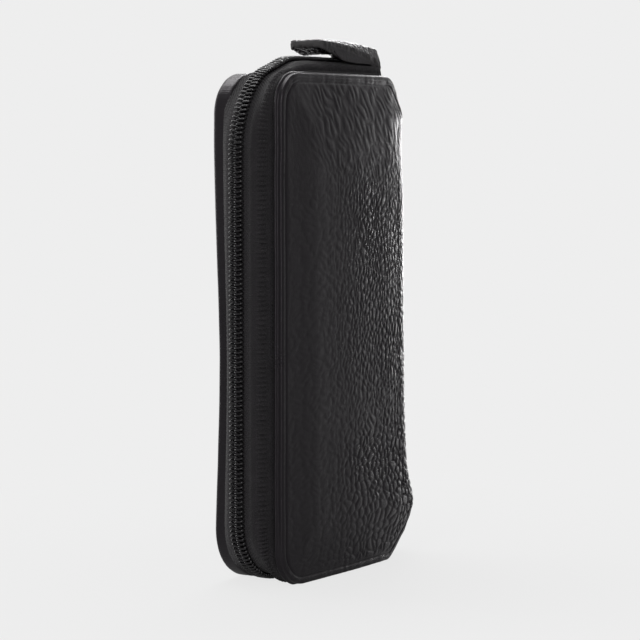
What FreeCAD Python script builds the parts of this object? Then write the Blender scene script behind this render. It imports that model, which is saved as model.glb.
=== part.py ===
import FreeCAD, Part
import math
import os

# A zip-around key case in black leather, standing on its lower short end.
# X runs from the zip side to the spine, Y from the front cover to the back cover, Z up.
# All lengths are in millimetres. Covers are built on the +Y side and mirrored for the front.

# Closed case
case_height = 116.0
case_width = 58.0
case_depth = 19.0
fold_inset = 7.0
cover_corner = 7.5
fold_top_run = 7.5
fold_top_drop = 5.9
fold_bottom_run = 5.7
fold_bottom_rise = 4.1
overrun = 5.0

# Cover build-up, from the outside in
leather_thickness = 0.9
board_thickness = 0.6
lining_thickness = 0.5
roll_width = 2.3
roll_radius_share = 0.46
crease_width = 0.5
crease_depth = 0.25
crown_height = 0.8
crown_run = 12.0
crown_run_shares = (0.0, 0.25, 0.6, 1.0)
crown_height_shares = (0.0, 0.55, 0.88, 1.0)
turned_width = 6.2
least_corner_share = 0.3
foot_cut = 0.35
fold_margin = 1.0
lining_inset = 2.5
filler_clearance = 0.05
seam_inset = 4.0
seam_thread_width = 0.4
seam_thread_height = 0.25
seam_end_gap = 6.0

# Zip tapes and coils
zip_stand_out = 4.2
zip_floor_gap = 0.4
zip_top_corner = 20.0
zip_bottom_corner = 15.0
chain_width = 4.0
coil_height = 1.3
coil_gap = 0.1
tape_thickness = 0.5
tape_gap = 1.9
tape_flat_width = 6.4
tape_tuck = 0.8
tape_seam_width = 5.2
tape_fold_gap = 0.3
tape_end_slant_share = 0.78
tape_coil_gap = 0.05
corner_steps = 8

# Spine between the two fold lines
spine_top_fall = 4.6
spine_bottom_climb = 6.9
spine_filler_thickness = 0.4
spine_gap = 0.1
zip_end_length = 4.6
zip_end_side = 0.9
zip_end_drop = 2.5
zip_end_fall = 5.5
zip_end_tuck = 14.0
zip_end_clearance = 0.1

# Zip slider and its pull pin
slider_end_gap = 4.3
slider_length = 8.6
slider_plate = 0.75
slider_flange = 0.55
chain_clearance = 0.2
slot_clearance = 0.3
slider_post_length = 2.2
slider_post_width = 1.5
slider_nose_round_share = 0.3
ear_thickness = 0.6
ear_radius = 0.9
ear_root = 4.6
pin_radius = 0.5
pin_reach = 1.9

# Leather pull tab folded round the pin
tab_ply = 0.65
tab_core_thickness = 0.6
tab_core_margin = 1.1
tab_width = 9.6
tab_loop_width = 5.4
tab_side_clearance = 0.15
tab_pin_clearance = 0.05
tab_chain_clearance = 0.2
tab_length = 23.6
tab_rise = 1.55
tab_bow = 0.85
tab_slot_reach = 2.8
tab_shoulder_drop = 2.1
tab_shoulder_reach = 1.2
tab_shoulder_root = 5.0

# Key rail on the back lining
rail_side = 4.5
rail_height = 10.0
rail_thickness = 1.0
rail_drop = 11.0
rail_corner = 1.5
lug_width = 1.2
lug_wall = 0.8
rivet_radius = 1.2
rivet_head_radius = 2.0
rivet_head_height = 0.5
rivet_edge = 5.0
rivet_clearance = 0.02
rod_radius = 0.9

# Key hooks on the rod, each with a sprung gate
hook_count = 6
hook_gap = 0.5
hook_lug_gap = 0.5
hook_eye_wall = 1.1
hook_eye_width = 2.6
hook_eye_clearance = 0.06
hook_swing_clearance = 0.3
hook_wire = 1.4
hook_loop_length = 22.0
hook_neck = 3.0
gate_drop = 5.2
gate_length = 11.0
gate_thickness = 1.2
gate_eye_radius = 0.9
gate_pin_radius = 0.45
gate_pin_clearance = 0.05
gate_clearance = 0.1
gate_cheek = 0.45
gate_cheek_radius = 0.9

# Slip pocket on the front lining
pocket_thickness = 0.8
pocket_gap = 0.3
pocket_rim = 3.0
pocket_height = 54.0
pocket_low = 6.5
pocket_side = 5.0

# Places that follow from the sizes above
cover_left = -(case_width - zip_stand_out) / 2
spine_x = cover_left + case_width
fold_x = spine_x - fold_inset
face_y = case_depth / 2
board_out_y = face_y - leather_thickness
board_in_y = board_out_y - board_thickness
turned_y = board_in_y - leather_thickness
seam_y = turned_y - tape_thickness
lining_y = seam_y - lining_thickness
chain_left = cover_left - zip_stand_out
chain_top = case_height + zip_stand_out
chain_bottom = zip_floor_gap
tape_top = chain_top - coil_height
tape_end_x = fold_x - tape_fold_gap
nose_x = fold_x - slider_end_gap
tail_x = nose_x - slider_length
coil_end_x = nose_x - slider_post_length - chain_clearance * 2
slider_half = chain_width / 2 + chain_clearance + slider_flange
plate_low = chain_top + chain_clearance
plate_high = plate_low + slider_plate
pin_x = nose_x + pin_reach
tab_loop_radius = pin_radius + tab_pin_clearance + tab_ply
tab_thickness = tab_ply * 2 + tab_core_thickness
pin_z = chain_top + tab_chain_clearance + tab_loop_radius
ear_inner = tab_loop_width / 2 + tab_side_clearance
rail_x = (cover_left + fold_x) / 2
rail_width = fold_x - cover_left - rail_side * 2
rail_in_y = lining_y - rail_thickness
rail_high = case_height - rail_drop
rail_low = rail_high - rail_height
hook_eye_radius = rod_radius + hook_eye_clearance + hook_eye_wall
rod_y = rail_in_y - hook_eye_radius - hook_swing_clearance
rod_z = rail_low + rod_radius + lug_wall
hook_reach = rail_width / 2 - rail_corner - lug_width - hook_lug_gap - hook_eye_width / 2
hook_pitch = hook_reach * 2 / (hook_count - 1)
hook_loop_width = hook_pitch - hook_gap
NEAR = 1e-4


def point(x, y, z):
    """A point or a direction of the case's frame."""
    return FreeCAD.Vector(x, y, z)


def line(start, end):
    """A straight edge."""
    return Part.LineSegment(start, end).toShape()


def arc(start, middle, end):
    """A round edge through three points."""
    return Part.Arc(start, middle, end).toShape()


def block(x_low, x_high, y_low, y_high, z_low, z_high):
    """A box between two corners."""
    return Part.makeBox(x_high - x_low, y_high - y_low, z_high - z_low, point(x_low, y_low, z_low))


def slab(outline, y_low, y_high):
    """A face given by X and Z points, thickened from one Y to another."""
    corners = [point(x, y_low, z) for x, z in outline]
    face = Part.Face(Part.makePolygon(corners + corners[:1]))
    return face.extrude(point(0, y_high - y_low, 0))


def rod_along_y(x, z, radius, y_low, y_high):
    """A round bar along Y."""
    return Part.makeCylinder(radius, y_high - y_low, point(x, y_low, z), point(0, 1, 0))


def rod_along_x(y, z, radius, x_low, x_high):
    """A round bar along X."""
    return Part.makeCylinder(radius, x_high - x_low, point(x_low, y, z), point(1, 0, 0))


def to_front(shape):
    """The front cover's copy of a piece of the back cover."""
    return shape.mirror(point(0, 0, 0), point(0, 1, 0))


def fold_corner(run, drop, inset, fold_gap):
    """Run and drop of a cover's fold-side corner at an inset outline."""
    spread = inset * (math.hypot(run, drop) - run)
    kept_run = run - fold_gap + spread / drop
    kept_drop = drop - drop * fold_gap / run + spread / run
    return max(kept_run, run * least_corner_share), max(kept_drop, drop * least_corner_share)


def corner_arc(start, end, y):
    """A round edge in the plane at y, level where it meets the cover's top or bottom edge."""
    run = end[0] - start[0]
    rise = end[1] - start[1]
    bow_share = abs(rise) / (math.hypot(run, rise) + abs(run)) / 2
    middle_x = (start[0] + end[0]) / 2 - rise * bow_share
    middle_z = (start[1] + end[1]) / 2 + run * bow_share
    return arc(point(start[0], y, start[1]), point(middle_x, y, middle_z), point(end[0], y, end[1]))


def zip_side_edges(inset, y, bottom_x, top_x):
    """A cover's outline from its bottom edge round the zip side to its top edge."""
    left = cover_left + inset
    low = inset - foot_cut
    high = case_height - inset
    radius = max(cover_corner - inset, cover_corner * least_corner_share)
    bend = radius * (1 - math.sqrt(0.5))
    round_x = left + radius
    return [
        line(point(bottom_x, y, low), point(round_x, y, low)),
        arc(point(round_x, y, low), point(left + bend, y, low + bend), point(left, y, low + radius)),
        line(point(left, y, low + radius), point(left, y, high - radius)),
        arc(point(left, y, high - radius), point(left + bend, y, high - bend), point(round_x, y, high)),
        line(point(round_x, y, high), point(top_x, y, high)),
    ]


def cover_wire(inset, y, fold_gap):
    """A cover's outline: round corners on the zip side, cut corners at the fold line."""
    right = fold_x - fold_gap
    low = inset - foot_cut
    high = case_height - inset
    top_run, top_drop = fold_corner(fold_top_run, fold_top_drop, inset, fold_gap)
    bottom_run, bottom_rise = fold_corner(fold_bottom_run, fold_bottom_rise, inset, fold_gap)
    top_start = (right - top_run, high)
    top_end = (right, high - top_drop)
    bottom_start = (right, low + bottom_rise)
    bottom_end = (right - bottom_run, low)
    edges = zip_side_edges(inset, y, bottom_end[0], top_start[0])
    edges.append(corner_arc(top_start, top_end, y))
    edges.append(line(point(right, y, top_end[1]), point(right, y, bottom_start[1])))
    edges.append(corner_arc(bottom_start, bottom_end, y))
    return Part.Wire(edges)


def cover_plate(inset, fold_gap, y_low, y_high):
    """A flat layer of a cover, inset alike on its three free sides."""
    return Part.Face(cover_wire(inset, y_low, fold_gap)).extrude(point(0, y_high - y_low, 0))


def crown(base_y):
    """The padded swelling of a cover's face above the level base_y."""
    wires = []
    for run_share, height_share in zip(crown_run_shares, crown_height_shares):
        run = crown_run * run_share
        wires.append(cover_wire(roll_width + run, base_y + crown_height * height_share, fold_margin + run))
    return Part.makeLoft(wires, True, True)


def rolled_blank():
    """The outer body of a cover: edges rolled on a square blank, whose fold-side corners are cut after."""
    sides = zip_side_edges(0, turned_y, fold_x, fold_x)
    sides.append(line(point(fold_x, turned_y, case_height), point(fold_x, turned_y, -foot_cut)))
    blank = Part.Face(Part.Wire(sides)).extrude(point(0, face_y - turned_y, 0))
    edges = []
    for edge in blank.Edges:
        box = edge.BoundBox
        if box.YLength < NEAR and box.XMin < fold_x - NEAR:
            edges.append(edge)
    rolled = blank.makeFillet((face_y - turned_y) * roll_radius_share, edges)
    return rolled.common(cover_plate(0, 0, turned_y, face_y))


def cover_leather():
    """The leather of a cover: face, rolled edge and the border turned to the inside."""
    body = rolled_blank().fuse(crown(face_y)).removeSplitter()
    crease = cover_plate(roll_width - crease_width, fold_margin, face_y - crease_depth, face_y + overrun)
    crease = crease.cut(cover_plate(roll_width, fold_margin, face_y - crease_depth, face_y + overrun))
    below = block(cover_left - overrun, fold_x + overrun, 0, case_depth, -overrun, 0)
    hollow = cover_plate(leather_thickness, fold_margin, board_in_y, board_out_y)
    opening = cover_plate(turned_width, turned_width, turned_y, board_in_y)
    return body.cut([crease, below, hollow, opening, crown(board_out_y)])


def rivet_places():
    """X places of the two rail rivets."""
    return [rail_x - rail_width / 2 + rivet_edge, rail_x + rail_width / 2 - rivet_edge]


def rivet_z():
    """Height of the rail rivets, midway between the lugs and the rail's top."""
    return (rod_z + hook_eye_radius + rail_high) / 2


def with_rivet_holes(shape):
    """A back cover layer with the holes that the rail rivets pass through."""
    holes = []
    for x in rivet_places():
        holes.append(rod_along_y(x, rivet_z(), rivet_radius + rivet_clearance, 0, case_depth))
    return shape.cut(holes)


def cover_board():
    """The stiffening board inside the leather."""
    return cover_plate(leather_thickness, fold_margin, board_in_y, board_out_y)


def cover_filler():
    """The soft filler between the turned border and the lining."""
    inset = turned_width + filler_clearance
    return cover_plate(inset, inset, seam_y, board_in_y)


def cover_lining():
    """The lining sheet of a cover."""
    return cover_plate(lining_inset, fold_margin, lining_y, seam_y)


def seam_thread():
    """The line of sewing that holds lining, tape and leather, on the lining's face."""
    low = lining_y - seam_thread_height
    ring = cover_plate(seam_inset, seam_end_gap, low, lining_y)
    return ring.cut(cover_plate(seam_inset + seam_thread_width, seam_end_gap, low, lining_y))


def chain_corner_centres(inset):
    """Centres and radii of the chain's two corners, for a line inset from its outside."""
    top = (chain_left + zip_top_corner, chain_top - zip_top_corner, zip_top_corner - inset)
    bottom = (chain_left + zip_bottom_corner, chain_bottom + zip_bottom_corner, zip_bottom_corner - inset)
    return top, bottom


def cover_corner_centres(inset):
    """Centres and radii of a cover's two corners, for a line inset from its outline."""
    radius = max(cover_corner - inset, cover_corner * least_corner_share)
    left = cover_left + inset + radius
    top = (left, case_height - inset - radius, radius)
    bottom = (left, inset - foot_cut + radius, radius)
    return top, bottom


def run_of_points(centres, end_x, top_z, bottom_z):
    """Points along a line round the zip side, from the top run to the bottom run."""
    points = [(end_x, top_z)]
    for index, (x, z, radius) in enumerate(centres):
        for step in range(corner_steps + 1):
            angle = math.radians(90 * (1 + index + step / corner_steps))
            points.append((x + radius * math.cos(angle), z + radius * math.sin(angle)))
    points.append((end_x, bottom_z))
    return points


def tape_end(y):
    """X at which the tape's slanted ends reach a distance y from the chain."""
    return tape_end_x - (y - tape_gap / 2) * tape_end_slant_share


def chain_row(inset, y):
    """Points of the tape along the chain, inset from the chain's outside, and their Y."""
    centres = chain_corner_centres(inset)
    return run_of_points(centres, tape_end(y), chain_top - inset, chain_bottom + inset), y


def cover_row(inset, y):
    """Points of the tape along a cover's outline that pair with the chain's points, and their Y."""
    centres = cover_corner_centres(inset)
    return run_of_points(centres, tape_end(y), case_height - inset, inset - foot_cut), y


def zip_tape():
    """The woven tape from the coil to the seam inside the cover."""
    rows = [
        chain_row(coil_height, tape_gap / 2),
        chain_row(coil_height, tape_flat_width / 2),
        cover_row(tape_tuck, turned_y),
        cover_row(tape_tuck + tape_seam_width, turned_y),
        cover_row(tape_tuck + tape_seam_width, seam_y),
        cover_row(tape_tuck + tape_thickness, seam_y),
        chain_row(coil_height + tape_thickness, tape_flat_width / 2 - tape_thickness),
        chain_row(coil_height + tape_thickness, tape_gap / 2),
    ]
    sections = []
    for places in zip(*[row for row, y in rows]):
        sections.append([point(x, y, z) for (x, z), (row, y) in zip(places, rows)])
    faces = [Part.Face(Part.makePolygon(end + end[:1])) for end in (sections[0], sections[-1])]
    for near, far in zip(sections, sections[1:]):
        for index in range(len(rows)):
            follow = (index + 1) % len(rows)
            near_side = line(near[index], near[follow])
            far_side = line(far[index], far[follow])
            faces.append(Part.makeRuledSurface(near_side, far_side))
    shell = Part.makeShell(faces)
    shell.sewShape()
    return Part.makeSolid(shell)


def chain_wire(inset, y):
    """The chain's run as edges, inset from its outside."""
    top, bottom = chain_corner_centres(inset)
    half = math.sqrt(0.5)
    edges = [line(point(coil_end_x, y, top[1] + top[2]), point(top[0], y, top[1] + top[2]))]
    x, z, radius = top
    edges.append(
        arc(point(x, y, z + radius), point(x - radius * half, y, z + radius * half), point(x - radius, y, z))
    )
    edges.append(line(point(x - radius, y, z), point(bottom[0] - bottom[2], y, bottom[1])))
    x, z, radius = bottom
    edges.append(
        arc(point(x - radius, y, z), point(x - radius * half, y, z - radius * half), point(x, y, z - radius))
    )
    edges.append(line(point(x, y, z - radius), point(coil_end_x, y, z - radius)))
    return edges


def zip_coil():
    """One row of the coil, a strip along the chain's run on its half of the chain."""
    y = coil_gap / 2
    inner = coil_height - tape_coil_gap
    outer_edges = chain_wire(0, y)
    inner_edges = chain_wire(inner, y)
    ends = [
        line(point(coil_end_x, y, chain_bottom), point(coil_end_x, y, chain_bottom + inner)),
        line(point(coil_end_x, y, chain_top - inner), point(coil_end_x, y, chain_top)),
    ]
    wire = Part.Wire(Part.__sortEdges__(outer_edges + inner_edges + ends))
    return Part.Face(wire).extrude(point(0, (chain_width - coil_gap) / 2, 0))


def ellipse_prism(inset):
    """The spine's half-round section, inset from its outside, over the whole height."""
    ellipse = Part.Ellipse(
        point(fold_x, face_y - inset, 0), point(fold_x + fold_inset - inset, 0, 0), point(fold_x, 0, 0)
    )
    face = Part.Face(Part.Wire(ellipse.toShape()))
    return face.extrude(point(0, 0, case_height))


def spine_side():
    """The region past the fold lines, with corners that go on from the covers' cut corners."""
    left = fold_x + spine_gap
    high = case_height - fold_top_drop
    low = fold_bottom_rise - foot_cut
    far_high = high - spine_top_fall
    far_low = low + spine_bottom_climb
    outline = [(left, low), (left, high), (spine_x, far_high), (spine_x, far_low)]
    return slab(outline, -case_depth, case_depth)


def spine_layer(outer_inset, inner_inset):
    """One layer of the spine between two insets."""
    return ellipse_prism(outer_inset).cut(ellipse_prism(inner_inset)).common(spine_side())


def zip_end(at_top):
    """The sewn-together tape ends that close the spine at one end of the case."""
    x_low = fold_x + tape_fold_gap
    x_high = x_low + zip_end_length
    half = turned_y - zip_end_side
    high = case_height - zip_end_drop
    low = case_height - zip_end_tuck
    plug = slab([(x_low, low), (x_high, low), (x_high, high - zip_end_fall), (x_low, high)], -half, half)
    inset = leather_thickness + spine_filler_thickness + lining_thickness + zip_end_clearance
    plug = plug.common(ellipse_prism(inset))
    if at_top:
        return plug
    return plug.mirror(point(0, 0, case_height / 2), point(0, 0, 1))


def slider_body():
    """The slider: two plates, side flanges, the parting post and two ears for the pull pin."""
    tape_low = tape_top - tape_thickness
    upper = block(tail_x, nose_x, -slider_half, slider_half, plate_low, plate_high)
    lower_high = tape_low - chain_clearance
    lower = block(tail_x, nose_x, -slider_half, slider_half, lower_high - slider_plate, lower_high)
    plates = []
    for plate in (upper, lower):
        corners = [edge for edge in plate.Edges if edge.BoundBox.ZLength > NEAR]
        plates.append(plate.makeFillet(slider_half * slider_nose_round_share, corners))
    round_off = slider_half * slider_nose_round_share
    flange_low = tape_top + slot_clearance
    inner = slider_half - slider_flange
    pieces = []
    for side in (-1, 1):
        y_low, y_high = sorted((side * inner, side * slider_half))
        pieces.append(block(tail_x + round_off, nose_x - round_off, y_low, y_high, flange_low, plate_low))
        y_low, y_high = sorted((side * ear_inner, side * (ear_inner + ear_thickness)))
        ear = block(pin_x - ear_root, pin_x, y_low, y_high, plate_low, plate_high)
        ear = ear.fuse(rod_along_y(pin_x, pin_z, ear_radius, y_low, y_high))
        ear = ear.cut(rod_along_y(pin_x, pin_z, pin_radius, -case_depth, case_depth))
        bridge_low, bridge_high = sorted((side * inner, side * (ear_inner + ear_thickness)))
        bridge = block(pin_x - ear_root, nose_x - round_off, bridge_low, bridge_high, plate_low, plate_high)
        pieces.append(ear)
        pieces.append(bridge)
    post_half = slider_post_width / 2
    post = block(nose_x - slider_post_length, nose_x, -post_half, post_half, lower_high, plate_low)
    return plates[0].fuse([plates[1], post] + pieces).removeSplitter()


def pull_pin():
    """The pin that the pull tab is folded round."""
    reach = ear_inner + ear_thickness
    return rod_along_y(pin_x, pin_z, pin_radius, -reach, reach)


def tab_arc_points(drop):
    """Start, middle and end of the tab's bowed top line, lowered by drop."""
    start = (pin_x, pin_z + tab_loop_radius - drop)
    end = (pin_x - tab_length, start[1] + tab_rise)
    middle = ((start[0] + end[0]) / 2, (start[1] + end[1]) / 2 + tab_bow)
    return start, middle, end


def tab_band(top_drop, bottom_drop, half_width, x_low, x_high):
    """A bowed strip of the tab between two drops from its top line."""
    y = -half_width
    start, middle, end = [point(x, y, z) for x, z in tab_arc_points(top_drop)]
    low_start, low_middle, low_end = [point(x, y, z) for x, z in tab_arc_points(bottom_drop)]
    edges = [
        arc(start, middle, end),
        line(end, low_end),
        arc(low_end, low_middle, low_start),
        line(low_start, start),
    ]
    band = Part.Face(Part.Wire(edges)).extrude(point(0, half_width * 2, 0))
    reach = tab_length + overrun
    return band.common(block(x_low, x_high, -tab_width, tab_width, pin_z - reach, pin_z + reach))


def pull_tab_core():
    """The stiff strip between the two plies of the tab."""
    free_end = pin_x - tab_length
    low = free_end + tab_core_margin
    high = pin_x - tab_shoulder_root
    half = tab_width / 2 - tab_core_margin
    return tab_band(tab_ply, tab_ply + tab_core_thickness, half, low, high)


def pull_tab_leather():
    """The leather strip folded round the pin, with drooping shoulders beside the slider's ears."""
    free_end = pin_x - tab_length
    slot_x = pin_x - tab_slot_reach
    half = tab_width / 2
    loop_half = tab_loop_width / 2
    strip = tab_band(0, tab_thickness, half, free_end, slot_x)
    strap = tab_band(0, tab_thickness, loop_half, slot_x - overrun, pin_x)
    strap = strap.fuse(rod_along_y(pin_x, pin_z, tab_loop_radius, -loop_half, loop_half))
    nose_room = block(tail_x, pin_x, -tab_width, tab_width, lower_strap_z() - tab_length, lower_strap_z())
    strap = strap.cut(nose_room.cut(rod_along_y(pin_x, pin_z, tab_loop_radius, -tab_width, tab_width)))
    shoulders = []
    top = pin_z + tab_loop_radius
    for side in (-1, 1):
        inner = ear_inner + ear_thickness + tab_side_clearance * 2
        y_low, y_high = sorted((side * inner, side * half))
        root_x = pin_x - tab_shoulder_root
        tip_x = pin_x + tab_shoulder_reach
        outline = [
            (root_x, top),
            (pin_x, top - tab_shoulder_drop / 2),
            (tip_x, top - tab_shoulder_drop),
            (tip_x, top - tab_shoulder_drop - tab_ply * 2),
            (pin_x - tab_slot_reach, top - tab_thickness),
            (root_x, top - tab_ply),
        ]
        shoulders.append(slab(outline, y_low, y_high))
    eye = rod_along_y(pin_x, pin_z, pin_radius + tab_pin_clearance, -tab_width, tab_width)
    return strip.fuse([strap] + shoulders).cut([eye, pull_tab_core()]).removeSplitter()


def lower_strap_z():
    """The level that the tab's underside keeps above the slider's upper plate."""
    return plate_high + tab_chain_clearance


def key_rail():
    """The rail's plate with three lugs that carry the hook rod."""
    x_low = rail_x - rail_width / 2
    x_high = rail_x + rail_width / 2
    plate = block(x_low, x_high, rail_in_y, lining_y, rail_low, rail_high)
    corners = [edge for edge in plate.Edges if edge.BoundBox.YLength > NEAR]
    plate = plate.makeFillet(rail_corner, corners)
    lugs = []
    for centre in (x_low + rail_corner + lug_width / 2, rail_x, x_high - rail_corner - lug_width / 2):
        y_low = rod_y - rod_radius - lug_wall
        z_high = rod_z + rod_radius + lug_wall
        lugs.append(block(centre - lug_width / 2, centre + lug_width / 2, y_low, rail_in_y, rail_low, z_high))
    holes = [rod_along_x(rod_y, rod_z, rod_radius, x_low - overrun, x_high + overrun)]
    for x in rivet_places():
        holes.append(rod_along_y(x, rivet_z(), rivet_radius + rivet_clearance, 0, case_depth))
    return plate.fuse(lugs).cut(holes)


def rail_rivets():
    """Two rivets through the rail, the lining, the filler and the board."""
    rivets = []
    for x in rivet_places():
        shank = rod_along_y(x, rivet_z(), rivet_radius, rail_in_y, board_out_y)
        head = rod_along_y(x, rivet_z(), rivet_head_radius, rail_in_y - rivet_head_height, rail_in_y)
        rivets.append(shank.fuse(head).removeSplitter())
    return Part.makeCompound(rivets)


def hook_rod():
    """The rod through the lugs that the key hooks hang on."""
    reach = rail_width / 2 - rail_corner
    return rod_along_x(rod_y, rod_z, rod_radius, rail_x - reach, rail_x + reach)


def hook_places():
    """X places of the key hooks along the rod."""
    return [rail_x + hook_pitch * (index - (hook_count - 1) / 2) for index in range(hook_count)]


def stadium(x, z_high, z_low, radius, y_low, y_high):
    """An upright bar with round ends."""
    bar = block(x - radius, x + radius, y_low, y_high, z_low + radius, z_high - radius)
    ends = [rod_along_y(x, z, radius, y_low, y_high) for z in (z_low + radius, z_high - radius)]
    return bar.fuse(ends).removeSplitter()


def gate_pivot(x):
    """X and Z of a gate's pin on the hook at x."""
    loop_high = rod_z - hook_neck
    return x - (hook_loop_width - hook_wire) / 2, loop_high - gate_drop


def key_hook(x):
    """A flat wire hook: an eye on the rod and a long loop with a gap on one side for its gate."""
    half = hook_wire / 2
    loop_high = rod_z - hook_neck
    loop_low = loop_high - hook_loop_length
    y_low = rod_y - half
    y_high = rod_y + half
    loop = stadium(x, loop_high, loop_low, hook_loop_width / 2, y_low, y_high)
    inside = hook_loop_width / 2 - hook_wire
    loop = loop.cut(stadium(x, loop_high - hook_wire, loop_low + hook_wire, inside, y_low, y_high))
    pivot_x, pivot_z = gate_pivot(x)
    gap_high = pivot_z + gate_eye_radius + gate_clearance
    gap_low = pivot_z - gate_length - gate_clearance
    loop = loop.cut(block(x - hook_loop_width, x - inside, y_low, y_high, gap_low, gap_high))
    eye = rod_along_x(rod_y, rod_z, hook_eye_radius, x - hook_eye_width / 2, x + hook_eye_width / 2)
    neck = block(x - hook_eye_width / 2, x + hook_eye_width / 2, y_low, y_high, loop_high - hook_wire, rod_z)
    reach = half + gate_cheek
    pin = rod_along_y(pivot_x, pivot_z, gate_pin_radius, rod_y - reach, rod_y + reach)
    pieces = [eye, neck, pin]
    for y in (rod_y - reach, rod_y + half):
        cheek = rod_along_y(pivot_x, pivot_z, gate_cheek_radius, y, y + gate_cheek)
        arm = block(pivot_x - half, pivot_x + half, y, y + gate_cheek, pivot_z, gap_high + hook_wire)
        pieces.append(cheek)
        pieces.append(arm)
    bore = rod_along_x(rod_y, rod_z, rod_radius + hook_eye_clearance, x - hook_pitch, x + hook_pitch)
    return loop.fuse(pieces).cut(bore).removeSplitter()


def hook_gate(x):
    """The sprung gate that closes a hook's gap."""
    pivot_x, pivot_z = gate_pivot(x)
    half = gate_thickness / 2
    eye = rod_along_y(pivot_x, pivot_z, gate_eye_radius, rod_y - half, rod_y + half)
    bar = block(pivot_x - half, pivot_x + half, rod_y - half, rod_y + half, pivot_z - gate_length, pivot_z)
    bore = gate_pin_radius + gate_pin_clearance
    hole = rod_along_y(pivot_x, pivot_z, bore, rod_y - hook_wire, rod_y + hook_wire)
    return eye.fuse(bar).cut(hole).removeSplitter()


def front_pocket():
    """A slip pocket on the front lining, sewn on three sides and open at the top."""
    x_low = cover_left + pocket_side
    x_high = fold_x - pocket_side
    z_high = pocket_low + pocket_height
    outer = -lining_y
    sheet_low = outer + pocket_gap
    sheet = block(x_low, x_high, outer, sheet_low + pocket_thickness, pocket_low, z_high)
    room = block(
        x_low + pocket_rim, x_high - pocket_rim, outer, sheet_low, pocket_low + pocket_rim, z_high + overrun
    )
    return sheet.cut(room)


def build():
    """All nodes of the case by name."""
    layers = {
        "leather": cover_leather(),
        "padding": crown(board_out_y),
        "board": cover_board(),
        "filler": cover_filler(),
        "lining": cover_lining(),
        "zip_tape": zip_tape(),
        "zip_coil": zip_coil(),
        "seam_thread": seam_thread(),
    }
    nodes = {}
    for name, shape in layers.items():
        riveted = name in ("board", "filler", "lining")
        nodes["back_" + name] = with_rivet_holes(shape) if riveted else shape
        nodes["front_" + name] = to_front(shape)
    filler_inset = leather_thickness + spine_filler_thickness
    nodes["spine_leather"] = spine_layer(0, leather_thickness)
    nodes["spine_filler"] = spine_layer(leather_thickness, filler_inset)
    nodes["spine_lining"] = spine_layer(filler_inset, filler_inset + lining_thickness)
    nodes["zip_end_top"] = zip_end(True)
    nodes["zip_end_bottom"] = zip_end(False)
    nodes["zip_slider"] = slider_body()
    nodes["pull_pin"] = pull_pin()
    nodes["pull_tab_leather"] = pull_tab_leather()
    nodes["pull_tab_core"] = pull_tab_core()
    nodes["key_rail"] = key_rail()
    nodes["rail_rivets"] = rail_rivets()
    nodes["hook_rod"] = hook_rod()
    for number, x in enumerate(hook_places(), 1):
        nodes[f"key_hook_{number}"] = key_hook(x)
        nodes[f"hook_gate_{number}"] = hook_gate(x)
    nodes["front_pocket"] = front_pocket()
    return nodes


os.makedirs("parts", exist_ok=True)
for node_name, node_shape in build().items():
    node_shape.exportStep(f"parts/{node_name}.step")
    box = node_shape.BoundBox
    print(
        f"{node_name}: solids {len(node_shape.Solids)}, valid {node_shape.isValid()},"
        f" volume {node_shape.Volume:.2f}, x {box.XMin:.2f} {box.XMax:.2f},"
        f" y {box.YMin:.2f} {box.YMax:.2f}, z {box.ZMin:.2f} {box.ZMax:.2f}"
    )
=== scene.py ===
import logging
import math
from dataclasses import dataclass
from enum import Enum, IntEnum

import bmesh
import bpy
import numpy as np
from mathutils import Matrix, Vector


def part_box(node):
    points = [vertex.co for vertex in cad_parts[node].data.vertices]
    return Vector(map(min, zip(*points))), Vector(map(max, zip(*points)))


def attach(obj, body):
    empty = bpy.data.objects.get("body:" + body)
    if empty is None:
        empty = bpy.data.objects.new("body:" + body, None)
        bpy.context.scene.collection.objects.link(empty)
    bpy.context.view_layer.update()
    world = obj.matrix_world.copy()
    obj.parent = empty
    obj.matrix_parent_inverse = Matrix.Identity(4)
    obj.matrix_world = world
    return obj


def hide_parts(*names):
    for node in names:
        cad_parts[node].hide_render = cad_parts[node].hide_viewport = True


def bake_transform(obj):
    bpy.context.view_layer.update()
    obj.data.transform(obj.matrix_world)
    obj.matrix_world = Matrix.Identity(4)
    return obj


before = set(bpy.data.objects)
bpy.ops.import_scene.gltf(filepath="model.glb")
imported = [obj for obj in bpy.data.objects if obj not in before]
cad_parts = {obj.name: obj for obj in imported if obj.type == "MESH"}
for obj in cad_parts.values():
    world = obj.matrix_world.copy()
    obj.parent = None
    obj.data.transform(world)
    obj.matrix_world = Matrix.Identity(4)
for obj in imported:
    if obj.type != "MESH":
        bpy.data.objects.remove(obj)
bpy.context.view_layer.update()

# A zip-around key case in black pebbled leather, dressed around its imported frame.
# Sizes are in millimetres of the row frame and become metres when a mesh is made.

log = logging.getLogger("key_case")
MM = 0.001
CUT_MAP = "cut"
PEBBLE = "pebble"
RAW_EDGE = "raw_edge"
PANEL_STRIPS = 24
SHARP_TURN = math.radians(75.0)
TINY = 1e-9
Array = np.ndarray
Piece = bpy.types.Object
Material = bpy.types.Material
Socket = bpy.types.NodeSocket
Colour = tuple[float, float, float]
Mesh = tuple[Array, list[list[int]]]


class Side(Enum):
    """The two covers, by the sign of Y on their side."""

    FRONT = -1
    BACK = 1

    @property
    def word(self) -> str:
        """The side's name in piece, node and body names."""
        return self.name.lower()


class Slot(Enum):
    """Material slots of the record, logged with the finish that each piece takes."""

    LEATHER = "black_leather"
    TAB = "tab_leather"
    POCKET = "pocket_leather"
    LINING = "lining_cloth"
    BOARD = "board"
    TAPE = "zip_tape"
    COIL = "zip_coil"
    THREAD = "thread"
    LACQUER = "slider_metal"
    NICKEL = "nickel"
    SPRING = "spring_steel"


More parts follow.
